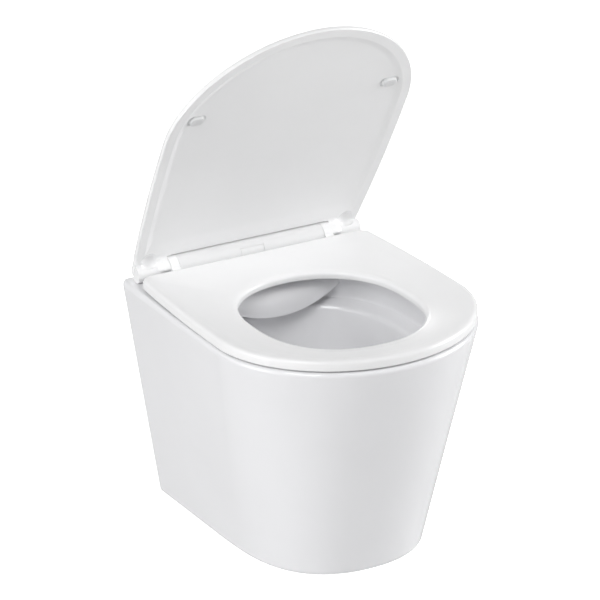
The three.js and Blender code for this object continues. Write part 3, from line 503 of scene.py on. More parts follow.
def plan_prism(name: str, outline: np.ndarray, low: float, high: float) -> Piece:
    """A prism of a plan outline between two heights."""
    return capped_stack(name, np.stack([SITE.level(outline, height) for height in (low, high)]))


def block(name: str, low: tuple[float, float, float], high: tuple[float, float, float]) -> Piece:
    """A box in the row frame.

    Args:
        name: The object's name.
        low: Its lowest corner.
        high: Its highest corner.

    Returns:
        The new object.
    """
    (x0, y0, z0), (x1, y1, z1) = low, high
    ring = np.array([[x0, y0], [x1, y0], [x1, y1], [x0, y1]], float)
    return capped_stack(name, np.stack([np.insert(ring, 2, z, axis=1) for z in (z0, z1)]))


def rod(
    name: str, start: list[float], end: list[float], radius: float, sides: int = 48,
    flare: tuple[float, float] | None = None,
) -> Piece:
    """A round bar between two points.

    Args:
        name: The object's name.
        start: Its first end.
        end: Its other end.
        radius: Its radius.
        sides: Points round it.
        flare: The share of its length where it starts to widen, and by how much, if it does.

    Returns:
        The new object.
    """
    start, end = np.asarray(start, float), np.asarray(end, float)
    along = (end - start) / np.linalg.norm(end - start)
    helper = np.array([0, 0, 1.0]) if abs(along[2]) < 0.9 else np.array([1.0, 0, 0])
    first = np.cross(helper, along)
    first /= np.linalg.norm(first)
    angle = np.linspace(0, 2 * np.pi, sides, endpoint=False)[:, None]
    around = np.cos(angle) * first + np.sin(angle) * np.cross(along, first)
    stations = [(0.0, radius), (1.0, radius)]
    if flare:
        stations[1:] = [(flare[0], radius), (1.0, radius + flare[1])]
    rings = [start + share * (end - start) + size * around for share, size in stations]
    return closed_stack(name, np.stack(rings))


def side_stack(name: str, section: np.ndarray, half: float, ease: float, middle: tuple[float, float]) -> Piece:
    """A bar along X with one section and softly rounded ends.

    Near an end the section shrinks towards its middle by the ease times one minus the
    sine of an angle, while x falls short of the end by the ease times one minus the
    cosine, which rounds the edge.

    Args:
        name: The object's name.
        section: Distance ahead of the hinge and height of each point.
        half: Half its length.
        ease: Radius of the rounded edges.
        middle: Distance ahead and height that the section shrinks towards.

    Returns:
        The new object.
    """
    angle = quarter(5)
    inset = ease * (1 - np.sin(angle))
    reach = half - ease * (1 - np.cos(angle))
    x = np.concatenate([-reach, reach[::-1]])
    inset = np.concatenate([inset, inset[::-1]])
    around = section - np.array(middle)
    size = np.linalg.norm(around, axis=1)
    shrunk = np.array(middle) + around[None] * (1 - inset[:, None] / size[None])[..., None]
    return closed_stack(name, SITE.row(x[:, None], shrunk[..., 0], shrunk[..., 1]))


def combine(piece: Piece, others: list[Piece], operation: str) -> Piece:
    """Cuts or joins closed solids and keeps the result as the piece's mesh.

    Args:
        piece: The solid that is kept.
        others: The solids that are used up.
        operation: DIFFERENCE, UNION or INTERSECT.

    Returns:
        The piece.
    """
    for other in others:
        step = piece.modifiers.new("combine", "BOOLEAN")
        step.object = other
        step.operation = operation
        step.solver = "EXACT"
    graph = bpy.context.evaluated_depsgraph_get()
    graph.update()
    made = bpy.data.meshes.new_from_object(piece.evaluated_get(graph))
    piece.modifiers.clear()
    old = piece.data
    piece.data = made
    bpy.data.meshes.remove(old)
    for other in others:
        bpy.data.objects.remove(other)
    return piece


def smooth(piece: Piece, angle: float = 32.0) -> None:
    """Shades a piece smooth below an angle between faces, led by its large faces.

    Args:
        piece: The piece.
        angle: Degrees above which an edge stays sharp.
    """
    piece.data.polygons.foreach_set("use_smooth", np.ones(len(piece.data.polygons), bool))
    piece.data.set_sharp_from_angle(angle=math.radians(angle))
    step = piece.modifiers.new("even_shading", "WEIGHTED_NORMAL")
    step.keep_sharp = True
    step.weight = 60


@dataclass
class Workshop:
    """Keeps the materials and dresses, hangs and reports each piece."""

    materials: dict[Slot, bpy.types.Material] = field(default_factory=dict)
    replaced: set[str] = field(default_factory=set)

    def material(self, slot: Slot) -> bpy.types.Material:
        """The slot's material, built when it is first asked for.

        Args:
            slot: The record's material slot.

        Returns:
            The material.
        """
        if slot not in self.materials:
            self.materials[slot] = FINISHES[slot].material()
        return self.materials[slot]

    def dress(self, piece: Piece, slot: Slot, body: Body, node: str) -> None:
        """Gives a new piece its finish, its body and the node it stands for.

        Args:
            piece: The piece.
            slot: The record's material slot.
            body: The body it rides on.
            node: The CAD node that it replaces.
        """
        piece.data.materials.clear()
        piece.data.materials.append(self.material(slot))
        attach(piece, body.value)
        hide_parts(node)
        self.replaced.add(node)
        log.info("%s: %d faces, rides on %s", piece.name, len(piece.data.polygons), body.value)

    def dress_nodes(self) -> None:
        """Gives every CAD node that keeps its shape the finish of its slot."""
        for part in frame["record"]["subparts"]:
            name, slot = part["node"], part["material_slot"]
            if name in self.replaced:
                continue
            for place in frame["nodes"][name].material_slots:
                place.material = self.material(Slot(slot))
            log.info("%s keeps its shape, in %s", name, slot)


@dataclass
class Pan:
    """The ceramic pan: shell, rim deck, bowl, hood and the hollow behind."""

    height: float = 315.0
    wall: float = 10.0
    back_wall: float = 12.0
    deck: float = 14.0
    top_round: float = 7.0
    bottom_round: float = 9.0
    lip_round: float = 7.0
    top: DOutline = DOutline(182.35, 403.3, 245.0, 1.9, 2.0, 0.021, -21.0, 10.0)
    bottom: DOutline = DOutline(125.0, 326.0, 101.0, 4.0, 2.2, 0.0, -21.0, 10.0)
    underside_pole: float = -150.0
    bowl: Oval = Oval(132.0, 50.0, 353.0, 2.6, 2.1)
    inlet_radius: float = 27.5
    inlet_depth: float = 45.0
    inlet_flare: tuple[float, float] = (0.95, 3.0)
    outlet_depth: float = 180.0
    outlet_radius: float = 51.0
    outlet_wall: float = 8.0
    outlet_length: float = 24.0
    outlet_flare: tuple[float, float] = (0.86, 2.5)
    fixing_x: float = 90.0
    fixing_radius: float = 11.0
    fixing_reach: float = 32.0
    fixing_flare: tuple[float, float] = (0.9, 2.0)
    seat_hole_x: float = 77.5
    seat_hole_radius: float = 7.0
    seat_hole_reach: float = 30.0
    hood_half: float = 100.0
    hood_front: float = 92.0
    hood_sag: float = 9.0
    hood_depth: float = 47.0
    hood_rise: float = 30.0
    hood_wall: float = 8.0
    hood_bulge: float = 0.75
    hood_drop: float = 1.05
    bowl_wall: float = 9.0
    opening_margin: float = 24.0
    opening_above: float = 6.0
    access_length: float = 174.0
    access_width: float = 74.0
    access_to_wall: float = 91.0
    trap_radius: float = 27.5
    trap_wall: float = 7.5
    trap_bend: float = 40.0
    trap_rise: float = 60.0
    water_depth: float = 177.0
    sump_depth: float = 282.0

    @property
    def base(self) -> float:
        """Height of the underside."""
        return SITE.rim - self.height

    def outline(self, height: float, inset: float) -> np.ndarray:
        """The shell's plan outline at a height: straight generators from the top outline
        to the bottom one."""
        down = (SITE.rim - height) / self.height
        return (1 - down) * self.top.ring(inset) + down * self.bottom.ring(inset)

    def level(self, height: float, inset: float) -> np.ndarray:
        """That outline as points in the row frame."""
        return SITE.level(self.outline(height, inset), height)

    def bowl_rings(self, edge: np.ndarray, grow: float) -> list[np.ndarray]:
        """The bowl's ovals from just below the lip to the sump's floor.

        Args:
            edge: The outline whose directions the ovals' points follow.
            grow: How far each oval grows.

        Returns:
            One ring of points in the row frame for each depth.
        """
        rows = np.array([  # depth, half-width, back and front
            [7.0, 128.5, 53.5, 349.5], [30.0, 131.0, 51.0, 352.0], [43.0, 132.0, 50.0, 353.0],
            [50.5, 113.5, 65.0, 337.8], [101.5, 100.3, 75.0, 317.7], [146.6, 79.2, 93.0, 282.4],
            [177.0, 59.4, 110.0, 240.0], [215.7, 37.0, 127.8, 210.2], [254.5, 33.0, 136.0, 202.0],
            [282.0, 24.0, 145.0, 193.0],
        ])
        path = rounded_path(rows, np.array([6.0, 4.0, 7.0, 14.0, 30.0, 30.0, 30.0, 14.0]), 7)
        made = []
        for depth, half, back, front in path[1:]:
            oval = replace(self.bowl, half=half, back=back, front=front)
            made.append(SITE.level(oval.toward(edge, grow), SITE.rim - depth))
        return made

    def shell(self) -> Piece:
        """The pan as a solid with its bowl, before the hollow is cut: rings from the
        underside up the shell, over the rim and down the bowl.

        Returns:
            The new object.
        """
        made = []
        for angle in quarter(9):
            height = self.base + self.bottom_round * (1 - math.cos(angle))
            made.append(self.level(height, self.bottom_round * (1 - math.sin(angle))))
        low, high = self.base + self.bottom_round, SITE.rim - self.top_round
        made += [self.level(low + (high - low) * share, 0.0) for share in np.linspace(0, 1, 12)[1:-1]]
        for angle in quarter(10):
            height = SITE.rim - self.top_round * (1 - math.sin(angle))
            made.append(self.level(height, self.top_round * (1 - math.cos(angle))))
        edge = self.outline(SITE.rim, self.top_round)
        mouth = self.bowl.toward(edge, self.lip_round / 2)
        made += [SITE.level(edge + (mouth - edge) * share, SITE.rim) for share in (0.3, 0.65, 0.92)]
        for angle in quarter(9)[::-1]:
            spread = self.lip_round * (1 - math.cos(angle)) - self.lip_round / 2
            depth = self.lip_round * (1 - math.sin(angle))
            made.append(SITE.level(self.bowl.toward(edge, spread), SITE.rim - depth))
        rings = np.stack(made + self.bowl_rings(edge, 0.0))
        poles = np.stack([[0.0, self.underside_pole, self.base], rings[-1].mean(axis=0)])
        return closed_stack("pan_casting", rings, poles)

    def hood(self) -> Piece:
        """The hood over the flush outlet: an apron with a leaf-shaped lower edge.

        Its section runs forward and down in a smooth curve, rolls round the lower edge
        and goes back up inside. Across the pan its front stands back and its lower edge
        rises with the square of the distance from the middle.

        Returns:
            The new object.
        """
        across = np.linspace(-1, 1, 49)[:, None]
        angle = quarter(26)[None, :]
        edge = self.hood_front - self.hood_sag * across**2
        low = SITE.rim - self.hood_depth + self.hood_rise * across**2
        top = SITE.rim - self.deck / 4
        behind = np.full_like(edge, self.bowl.back - self.wall)
        ahead = self.bowl.back + (edge - self.bowl.back) * np.sin(angle) ** self.hood_bulge
        height = top - (top - low) * (1 - np.cos(angle)) ** self.hood_drop
        inner_ahead = np.maximum(ahead[:, ::-1] - self.hood_wall, behind)
        inner_height = np.minimum(height[:, ::-1] + 1.0, top - self.hood_wall)
        loop_ahead = np.concatenate([behind, ahead, inner_ahead, behind], axis=1)
        ends = np.full_like(edge, top)
        loop_height = np.concatenate([ends, height, inner_height, ends - self.hood_wall], axis=1)
        return closed_stack("hood", SITE.row(across * self.hood_half, loop_ahead, loop_height))

    def cavity(self) -> Piece:
        """The hollow inside the shell, up to the deck.

        Returns:
            The new object.
        """
        heights = np.linspace(self.base + self.wall, SITE.rim - self.deck, 5)
        rings = np.stack([self.level(height, self.wall) for height in heights])
        rings[..., 1] = np.minimum(rings[..., 1], -self.back_wall)
        return closed_stack("cavity", rings)

    def bowl_outside(self) -> Piece:
        """The bowl's outer form, which the hollow goes round.

        Returns:
            The new object.
        """
        rings = np.stack(self.bowl_rings(self.outline(SITE.rim, self.top_round), self.bowl_wall))
        rings[0, :, 2] = SITE.rim - self.deck / 2
        rings[-1, :, 2] -= self.bowl_wall
        return closed_stack("bowl_outside", rings[::-1])

    def trap(self, radius: float) -> Piece:
        """The trapway as a round pipe: up out of the sump, over the weir and down.

        Its route turns up by the rise angle, runs straight, turns over the weir and then
        level again, all with one bend radius. On a bend that starts at heading a, y moves
        by r (sin h - sin a) and the height by r (cos a - cos h).

        Args:
            radius: The pipe's radius.

        Returns:
            The new object.
        """
        dip = SITE.rim - self.sump_depth + self.trap_radius + 0.2
        crest = SITE.rim - self.water_depth + self.trap_radius
        rise, bend = math.radians(self.trap_rise), self.trap_bend
        fall = math.acos(1 - (crest - SITE.rim + self.outlet_depth) / (2 * bend))
        straight = (crest - dip - 2 * bend * (1 - math.cos(rise))) / math.sin(rise)
        up = np.linspace(0, rise, 14)
        over = np.linspace(rise, -fall, 26)
        level = np.linspace(-fall, 0, 12)[1:]
        y_up, z_up = bend * np.sin(up), dip + bend * (1 - np.cos(up))
        y_over = y_up[-1] + straight * math.cos(rise) + bend * (math.sin(rise) - np.sin(over))
        z_over = z_up[-1] + straight * math.sin(rise) + bend * (np.cos(over) - math.cos(rise))
        y_level = y_over[-1] + bend * (np.sin(level) + math.sin(fall))
        z_level = z_over[-1] + bend * (math.cos(fall) - np.cos(level))
        heading = np.concatenate([up, over, level, [0.0]])[:, None]
        y = np.concatenate([y_up, y_over, y_level, [y_level[-1] + SITE.overrun]])[:, None]
        z = np.concatenate([z_up, z_over, z_level, [z_level[-1]]])[:, None]
        y = y - y[-1] + SITE.overrun - self.outlet_length
        angle = np.linspace(0, 2 * np.pi, 40, endpoint=False)[None]
        out = radius * np.cos(angle)
        rings = [radius * np.sin(angle) + 0 * y, y - out * np.sin(heading), z + out * np.cos(heading)]
        return closed_stack("trapway", np.stack(rings, axis=-1))

    def hollow(self) -> Piece:
        """The hollow with its openings at the back and in the underside, clear of the
        bowl, the inlet, the trapway and the spigot.

        Returns:
            The new object.
        """
        reach = self.bottom.half - self.opening_margin
        inlet, outlet = SITE.rim - self.inlet_depth, SITE.rim - self.outlet_depth
        back = block(
            "back_opening", (-reach, -self.back_wall - SITE.overrun, self.base + self.opening_margin),
            (reach, SITE.overrun, outlet + self.outlet_radius + self.opening_above),
        )
        ring = stadium(0.0, self.access_to_wall - SITE.hinge_to_wall, self.access_length, self.access_width, 32)
        access = plan_prism("access", ring, self.base - SITE.overrun, self.base + self.wall + SITE.overrun)
        made = combine(self.cavity(), [back, access], "UNION")
        ways = [
            self.bowl_outside(), self.trap(self.trap_radius + self.trap_wall),
            rod("spigot", [0, -self.outlet_length - self.outlet_wall, outlet], [0, 0, outlet],
                self.outlet_radius, sides=72),
            rod("inlet_tube", [0, -SITE.hinge_to_wall - self.bowl.back, inlet], [0, SITE.overrun, inlet],
                self.inlet_radius + self.wall / 2),
        ]
        return combine(made, ways, "DIFFERENCE")

    def build(self, shop: Workshop) -> None:
        """Makes the pan.

        Args:
            shop: Where finishes and bodies are kept.
        """
        body = self.shell()
        combine(body, [self.hood()], "UNION")
        combine(body, [self.hollow()], "DIFFERENCE")
        inlet, outlet = SITE.rim - self.inlet_depth, SITE.rim - self.outlet_depth
        inlet_start = -SITE.hinge_to_wall - self.bowl.back - SITE.overrun
        cutters = [
            rod("inlet", [0, inlet_start, inlet], [0, SITE.overrun, inlet], self.inlet_radius,
                flare=self.inlet_flare),
            self.trap(self.trap_radius),
            rod("outlet", [0, -self.outlet_length, outlet], [0, SITE.overrun, outlet],
                self.outlet_radius - self.outlet_wall, sides=72, flare=self.outlet_flare),
        ]
        for side in SIDES:
            x = side * self.fixing_x
            cutters.append(rod(
                "wall_hole", [x, -self.fixing_reach, 0], [x, SITE.overrun, 0], self.fixing_radius,
                flare=self.fixing_flare,
            ))
            x, y = side * self.seat_hole_x, -SITE.hinge_to_wall
            cutters.append(rod(
                "seat_hole", [x, y, SITE.rim - self.seat_hole_reach], [x, y, SITE.rim + SITE.overrun],
                self.seat_hole_radius, sides=32,
            ))
        combine(body, cutters, "DIFFERENCE")
        smooth(body)
        shop.dress(body, Slot.CERAMIC, Body.PAN, "pan")


@dataclass
class Seat:
    """The seat ring with its two hinge knuckles."""

    outer: DOutline = DOutline(180.0, 400.0, 245.0, 1.9, 2.0, 0.072, 17.4, 12.0)
    opening: Oval = Oval(111.0, 95.0, 342.0, 2.5, 2.1)
    top: float = 16.5
    under: float = 2.6
    dish: float = 6.0
    lip: float = 1.5
    inner_roll: float = 8.5
    barrel_radius: float = 16.8
    ear_radius: float = 11.5
    knuckle_inner: float = 108.85
    knuckle_width: float = 12.3
    shaft_radius: float = 3.8

    def section(self, width: np.ndarray) -> tuple[np.ndarray, np.ndarray]:
        """The ring's cross-section at each place round it.

        Each corner stands at a share of the width from the outer edge, plus a distance.

        Args:
            width: The distance from the outer edge to the opening at each place.

        Returns:
            Distances from the outer edge and heights, places by section points.
        """
        low, high = SITE.rim + self.under, SITE.rim + self.top
        lip = SITE.rim - self.lip
        inner = high - self.dish
        roll, rise = self.inner_roll, high - low
        corners = np.array([  # share of the width, distance and height
            [0.0, 3.0, low], [0.0, 0.6, low], [0.0, 0.0, low + 1.2], [0.0, 0.0, low + rise * 0.5],
            [0.0, 0.5, high - 3.0], [0.0, 3.4, high - 0.5], [0.0, 9.0, high],
            [0.35, 0.0, high - self.dish * 0.24], [0.68, 0.0, high - self.dish * 0.72],
            [1.0, -roll * 1.15, inner - 0.1], [1.0, -roll * 0.5, inner - roll * 0.12],
            [1.0, -roll * 0.06, inner - roll * 0.5], [1.0, 0.0, inner - roll * 0.9],
            [1.0, -0.3, lip + 0.8], [1.0, -1.4, lip], [1.0, -roll, lip], [1.0, -roll * 1.3, low],
        ])
        path = rounded_path(corners, 50.0, 4)
        out = path[None, :, 0] * width[:, None] + path[None, :, 1]
        return out, np.broadcast_to(path[None, :, 2], out.shape)

    def ring(self) -> Piece:
        """The ring as one closed surface round the opening.

        Returns:
            The new object.
        """
        outer = self.outer.ring(side=120, turn=8, rear=60)
        span = self.opening.toward(outer) - outer
        width = np.linalg.norm(span, axis=1)
        out, height = self.section(width)
        plan = outer[:, None] + span[:, None] * (out / width[:, None])[..., None]
        points = SITE.row(plan[..., 0], plan[..., 1], height)
        return face_out(write_mesh("seat_moulding", points, ring_quads(*out.shape, close_rows=True)))

    def knuckle(self, side: int) -> Piece:
        """One hinge knuckle, rising from the seat to the barrel's crown.

        Args:
            side: -1 for the left one and 1 for the right one.

        Returns:
            The new object.
        """
        root = self.outer.back + SITE.overrun
        outline = np.concatenate([
            [[root, SITE.rim + self.top - self.dish * 0.1]], arc_points(self.barrel_radius, 20, 110, 20),
            arc_points(self.ear_radius, 150, 285, 24), [[root, SITE.rim + self.under + SITE.overrun]],
        ])
        half = self.knuckle_width / 2
        return side_prism("knuckle", outline, half, side * (self.knuckle_inner + half))

    def build(self, shop: Workshop) -> None:
        """Makes the seat ring.

        Args:
            shop: Where finishes and bodies are kept.
        """
        body = self.ring()
        combine(body, [self.knuckle(side) for side in SIDES], "UNION")
        reach = self.knuckle_inner + self.knuckle_width + SITE.overrun
        y, z = -SITE.hinge_to_wall, SITE.axis
        combine(body, [rod("axle", [-reach, y, z], [reach, y, z], self.shaft_radius, sides=32)], "DIFFERENCE")
        smooth(body)
        shop.dress(body, Slot.RESIN, Body.SEAT, "seat_ring")


@dataclass
class Lid:
    """The lid, modelled shut about the hinge axis and then turned open."""

    outline: DOutline = DOutline(179.0, 405.0, 245.0, 1.9, 2.0, 0.072, -13.5, 0.5)
    under: float = 6.6
    thickness: float = 8.5
    recess: float = 2.4
    recess_corner: float = 14.0
    rim_band: float = 13.0
    rim_slope: float = 11.0
    rear_slope: float = 9.0
    rear_ease: float = 3.0
    rear_spread: float = 2.4
    spare: float = 5.0
    open_angle: float = 62.0
    notch_radius: float = 17.4
    notch_mouth: float = 18.7
    ear_radius: float = 11.5
    ear_inner: float = 121.5
    lug_radius: float = 16.2
    lug_foot: float = 11.3
    lug_core: float = 9.5
    lug_root: float = 23.0
    lug_knee: float = 17.2
    lug_turn: float = 12.0
    lug_close: float = 2.6
    lug_full: float = 129.0
    lug_end: float = 143.0
    dent_x: float = 148.0
    dent_half: float = 13.5
    dent_size: tuple[float, float] = (13.0, 7.5)
    dent_place: tuple[float, float] = (18.5, 2.0)
    shaft_radius: float = 3.8
    shaft_reach: float = 148.3
    bumper_x: float = 141.2
    bumper_ahead: float = 277.4
    bumper_length: float = 27.0
    bumper_width: float = 15.0
    bumper_drop: float = 1.8
    bumper_height: float = 2.0
    dome_share: float = 0.9
    dome_spread: float = 3.2
    dome_rise: float = 0.4

    @property
    def low(self) -> float:
        """Height of the underside when the lid is shut."""
        return SITE.axis + self.under

    @property
    def high(self) -> float:
        """Height of the top when the lid is shut."""
        return self.low + self.thickness

    def form(self) -> Piece:
        """The lid's body: rings from well below the underside up the edge to the top.

        Returns:
            The new object.
        """
        low, high = self.low, self.high
        edge = np.array([  # inset and height
            [0.0, low - 24.0], [0.0, low - 2.0], [1.6, low], [0.0, low + 1.8], [0.0, high - 5.0],
            [0.4, high - 2.6], [2.0, high - 0.9], [6.0, high],
        ])
        rings = [SITE.level(self.outline.ring(inset), height) for inset, height in rounded_path(edge, 1.6, 5)]
        return closed_stack("lid_moulding", np.stack(rings))

    def side_block(self) -> Piece:
        """The lid's side view, run across its whole width: a flat plate, a soft start to
        the rear slope, the slope and the round ear.

        Returns:
            The new object.
        """
        high, over = self.high, self.high + SITE.overrun
        foot = math.degrees(math.asin(self.under / self.ear_radius))
        rear, front = SITE.hinge_to_wall + self.rear_slope, self.outline.front + self.spare
        start = rear + self.rear_ease
        plate = [
            [front, self.low], [front, over], [start, over], [start, high], [rear + 1.2, high - 0.12],
            [rear - 0.6, high - 0.6], [SITE.hinge_to_wall, SITE.axis + self.ear_radius],
        ]
        outline = np.concatenate([plate, arc_points(self.ear_radius, 90, 360 + foot, 48)])
        return side_prism("lid_side", outline, self.outline.half + self.spare)

    def lug(self, side: int) -> Piece:
        """A lug beside a knuckle, flush with it, that runs out sideways into the ear.

        Its side view comes off the underside in a quadratic curve, goes round the axis
        and ends flat above the rim. Its height over a core inside the ear falls from
        full to nothing with half of one plus the cosine of the way outwards.

        Args:
            side: -1 for the left one and 1 for the right one.

        Returns:
            The new object.
        """
        steps, turn = 10, math.radians(self.lug_turn)
        drop = -math.asin(self.lug_foot / self.lug_radius)
        t = np.linspace(0, 1, steps, endpoint=False)[:, None]
        root = np.array([[self.lug_root, self.under + 0.05]])
        knee = np.array([[self.lug_knee, self.under]])
        bend = self.lug_radius * np.array([[math.cos(turn), math.sin(turn)]])
        blend = (1 - t) ** 2 * root + 2 * t * (1 - t) * knee + t**2 * bend
        angle = np.linspace(turn, drop, 22)
        round_part = self.lug_radius * np.stack([np.cos(angle), np.sin(angle)], axis=-1)
        flat = np.stack([np.linspace(round_part[-1, 0], 0.0, 5)[1:], np.full(4, -self.lug_foot)], axis=-1)
        full = np.concatenate([blend, round_part, flat])
        core = full * (self.lug_core / np.linalg.norm(full, axis=1))[:, None]
        core[:steps] = np.stack([full[:steps, 0], np.full(steps, self.under + SITE.overrun)], axis=-1)
        x = np.concatenate([[self.ear_inner - 3 * SITE.overrun], np.linspace(self.lug_full, self.lug_end, 15)])
        way = np.clip((x - self.lug_full) / (self.lug_end - self.lug_full), 0.0, 1.0)
        share = (0.5 + 0.5 * np.cos(np.pi * way))[:, None, None]
        top = self.under + self.lug_close
        close = np.broadcast_to([[0.0, top], [self.lug_root, top]], (len(x), 2, 2))
        sections = np.concatenate([core + (full - core) * share, close], axis=1)
        return capped_stack("lug", SITE.row(side * x[:, None], sections[..., 0], SITE.axis + sections[..., 1]))

    def dent(self, side: int) -> Piece:
        """The soft hollow between a lug and the lid's side, as an ellipsoid to cut away.

        Its points are the middle plus the half-sizes times the sine and cosine of the
        angles round it and along it.

        Args:
            side: -1 for the left one and 1 for the right one.

        Returns:
            The new object.
        """
        x, ahead, height = side * self.dent_x, self.dent_place[0], SITE.axis + self.dent_place[1]
        along = np.linspace(-np.pi / 2, np.pi / 2, 26)[1:-1, None]
        angle = np.linspace(0, 2 * np.pi, 48, endpoint=False)[None]
        rings = SITE.row(
            x + self.dent_half * np.sin(along),
            ahead + self.dent_size[0] * np.cos(along) * np.cos(angle),
            height + self.dent_size[1] * np.cos(along) * np.sin(angle),
        )
        poles = SITE.row(x + np.array([-self.dent_half, self.dent_half]), ahead, height)
        return closed_stack("dent", rings, poles)

    def hollow(self) -> Piece:
        """The shallow flat recess in the underside, inside a band and a soft slope.

        Returns:
            The new object.
        """
        back = math.sqrt(self.notch_radius**2 - self.under**2) + self.rim_band / 2
        shape = replace(self.outline, back=back, corner=self.recess_corner)
        band, slope, low = self.rim_band, self.rim_slope, self.low
        path = np.array([  # inset and height
            [band, low - 2.0], [band, low], [band + 2.0, low + 0.25],
            [band + slope * 0.6, low + self.recess * 0.78], [band + slope, low + self.recess],
        ])
        rings = [
            SITE.level(shape.ring(inset, (inset - band) * self.rear_spread), height) for inset, height in path
        ]
        return closed_stack("recess", np.stack(rings))

    def notch(self) -> Piece:
        """The space in the lid's back edge that the barrel and the seat's knuckles fill,
        a little wider where it opens at the underside.

        Returns:
            The new object.
        """
        behind = -self.notch_radius - SITE.overrun
        outline = np.concatenate([
            arc_points(self.notch_mouth, -60, 31, 40), arc_points(self.notch_radius, 33, 130, 40),
            [[behind, SITE.axis + self.notch_radius], [behind, SITE.axis - self.notch_radius]],
        ])
        return side_prism("notch", outline, self.ear_inner)

    def bumper(self, side: int) -> Piece:
        """A lid bumper: a plate deep in its socket with a raised pad of two low domes.

        Rows of slot-shaped rings shrink and drop from the plate to the pad's top. There
        the height has a hollow of a Gaussian in x, which leaves a dome at each end.

        Args:
            side: -1 for the left one and 1 for the right one.

        Returns:
            The new object.
        """
        low, deep, pad = self.low, self.low + self.recess, self.low - self.bumper_drop
        length, width = self.bumper_length, self.bumper_width
        rows = [  # length, width, height and share of the hollow
            (length, width, deep + self.bumper_height - 0.2, 0.0), (length, width, deep + 0.9, 0.0),
            (21.5, 14.4, deep + 0.7, 0.0), (20.6, 14.0, deep + 0.1, 0.0), (20.2, 13.8, low + 0.2, 0.0),
            (19.2, 12.8, pad + 0.9, 0.3), (17.2, 10.6, pad + 0.3, 0.7), (13.6, 6.6, pad, 1.0),
            (8.0, 2.0, pad, 1.0),
        ]
        rings = []
        for long, wide, height, share in rows:
            ring = stadium(side * self.bumper_x, self.bumper_ahead, long, wide, 20)
            aside = (ring[:, 0] - side * self.bumper_x) / self.dome_spread
            rings.append(SITE.level(ring, height + self.dome_share * share * np.exp(-(aside**2))))
        rings = np.stack(rings)
        poles = rings[[0, -1]].mean(axis=1)
        poles[1, 2] += self.dome_rise
        return closed_stack("lid_bumper", rings, poles)

    def socket(self, side: int) -> Piece:
        """The pocket of one lid bumper.

        Args:
            side: -1 for the left one and 1 for the right one.

        Returns:
            The new object.
        """
        length, width = self.bumper_length + 2 * SITE.gap, self.bumper_width + 2 * SITE.gap
        ring = stadium(side * self.bumper_x, self.bumper_ahead, length, width)
        return plan_prism("socket", ring, self.low - 2.0, self.low + self.recess + self.bumper_height)

    def turn_open(self, piece: Piece) -> None:
        """Turns a piece's mesh about the hinge axis, from shut to how the lid stands.

        Args:
            piece: The piece.
        """
        points = read_points(piece.data) / MM
        angle = -math.radians(self.open_angle)
        y, z = points[:, 1] + SITE.hinge_to_wall, points[:, 2] - SITE.axis
        points[:, 1] = y * math.cos(angle) - z * math.sin(angle) - SITE.hinge_to_wall
        points[:, 2] = y * math.sin(angle) + z * math.cos(angle) + SITE.axis
        piece.data.vertices.foreach_set("co", (points * MM).ravel())
        piece.data.update()

    def build(self, shop: Workshop) -> None:
        """Makes the lid and its bumpers.

        Args:
            shop: Where finishes and bodies are kept.
        """
        body = self.form()
        combine(body, [self.side_block()], "INTERSECT")
        combine(body, [self.lug(side) for side in SIDES], "UNION")
        x, y, z = self.shaft_reach, -SITE.hinge_to_wall, SITE.axis
        cutters = [self.notch(), self.hollow(), rod("axle", [-x, y, z], [x, y, z], self.shaft_radius, sides=32)]
        cutters += [make(side) for make in (self.socket, self.dent) for side in SIDES]
        combine(body, cutters, "DIFFERENCE")
        self.turn_open(body)
        smooth(body)
        shop.dress(body, Slot.RESIN, Body.LID, "lid")
        for side, name in SIDES.items():
            pad = self.bumper(side)
            self.turn_open(pad)
            smooth(pad, 50)
            shop.dress(pad, Slot.BUMPER, Body.LID, f"{name}_lid_bumper")


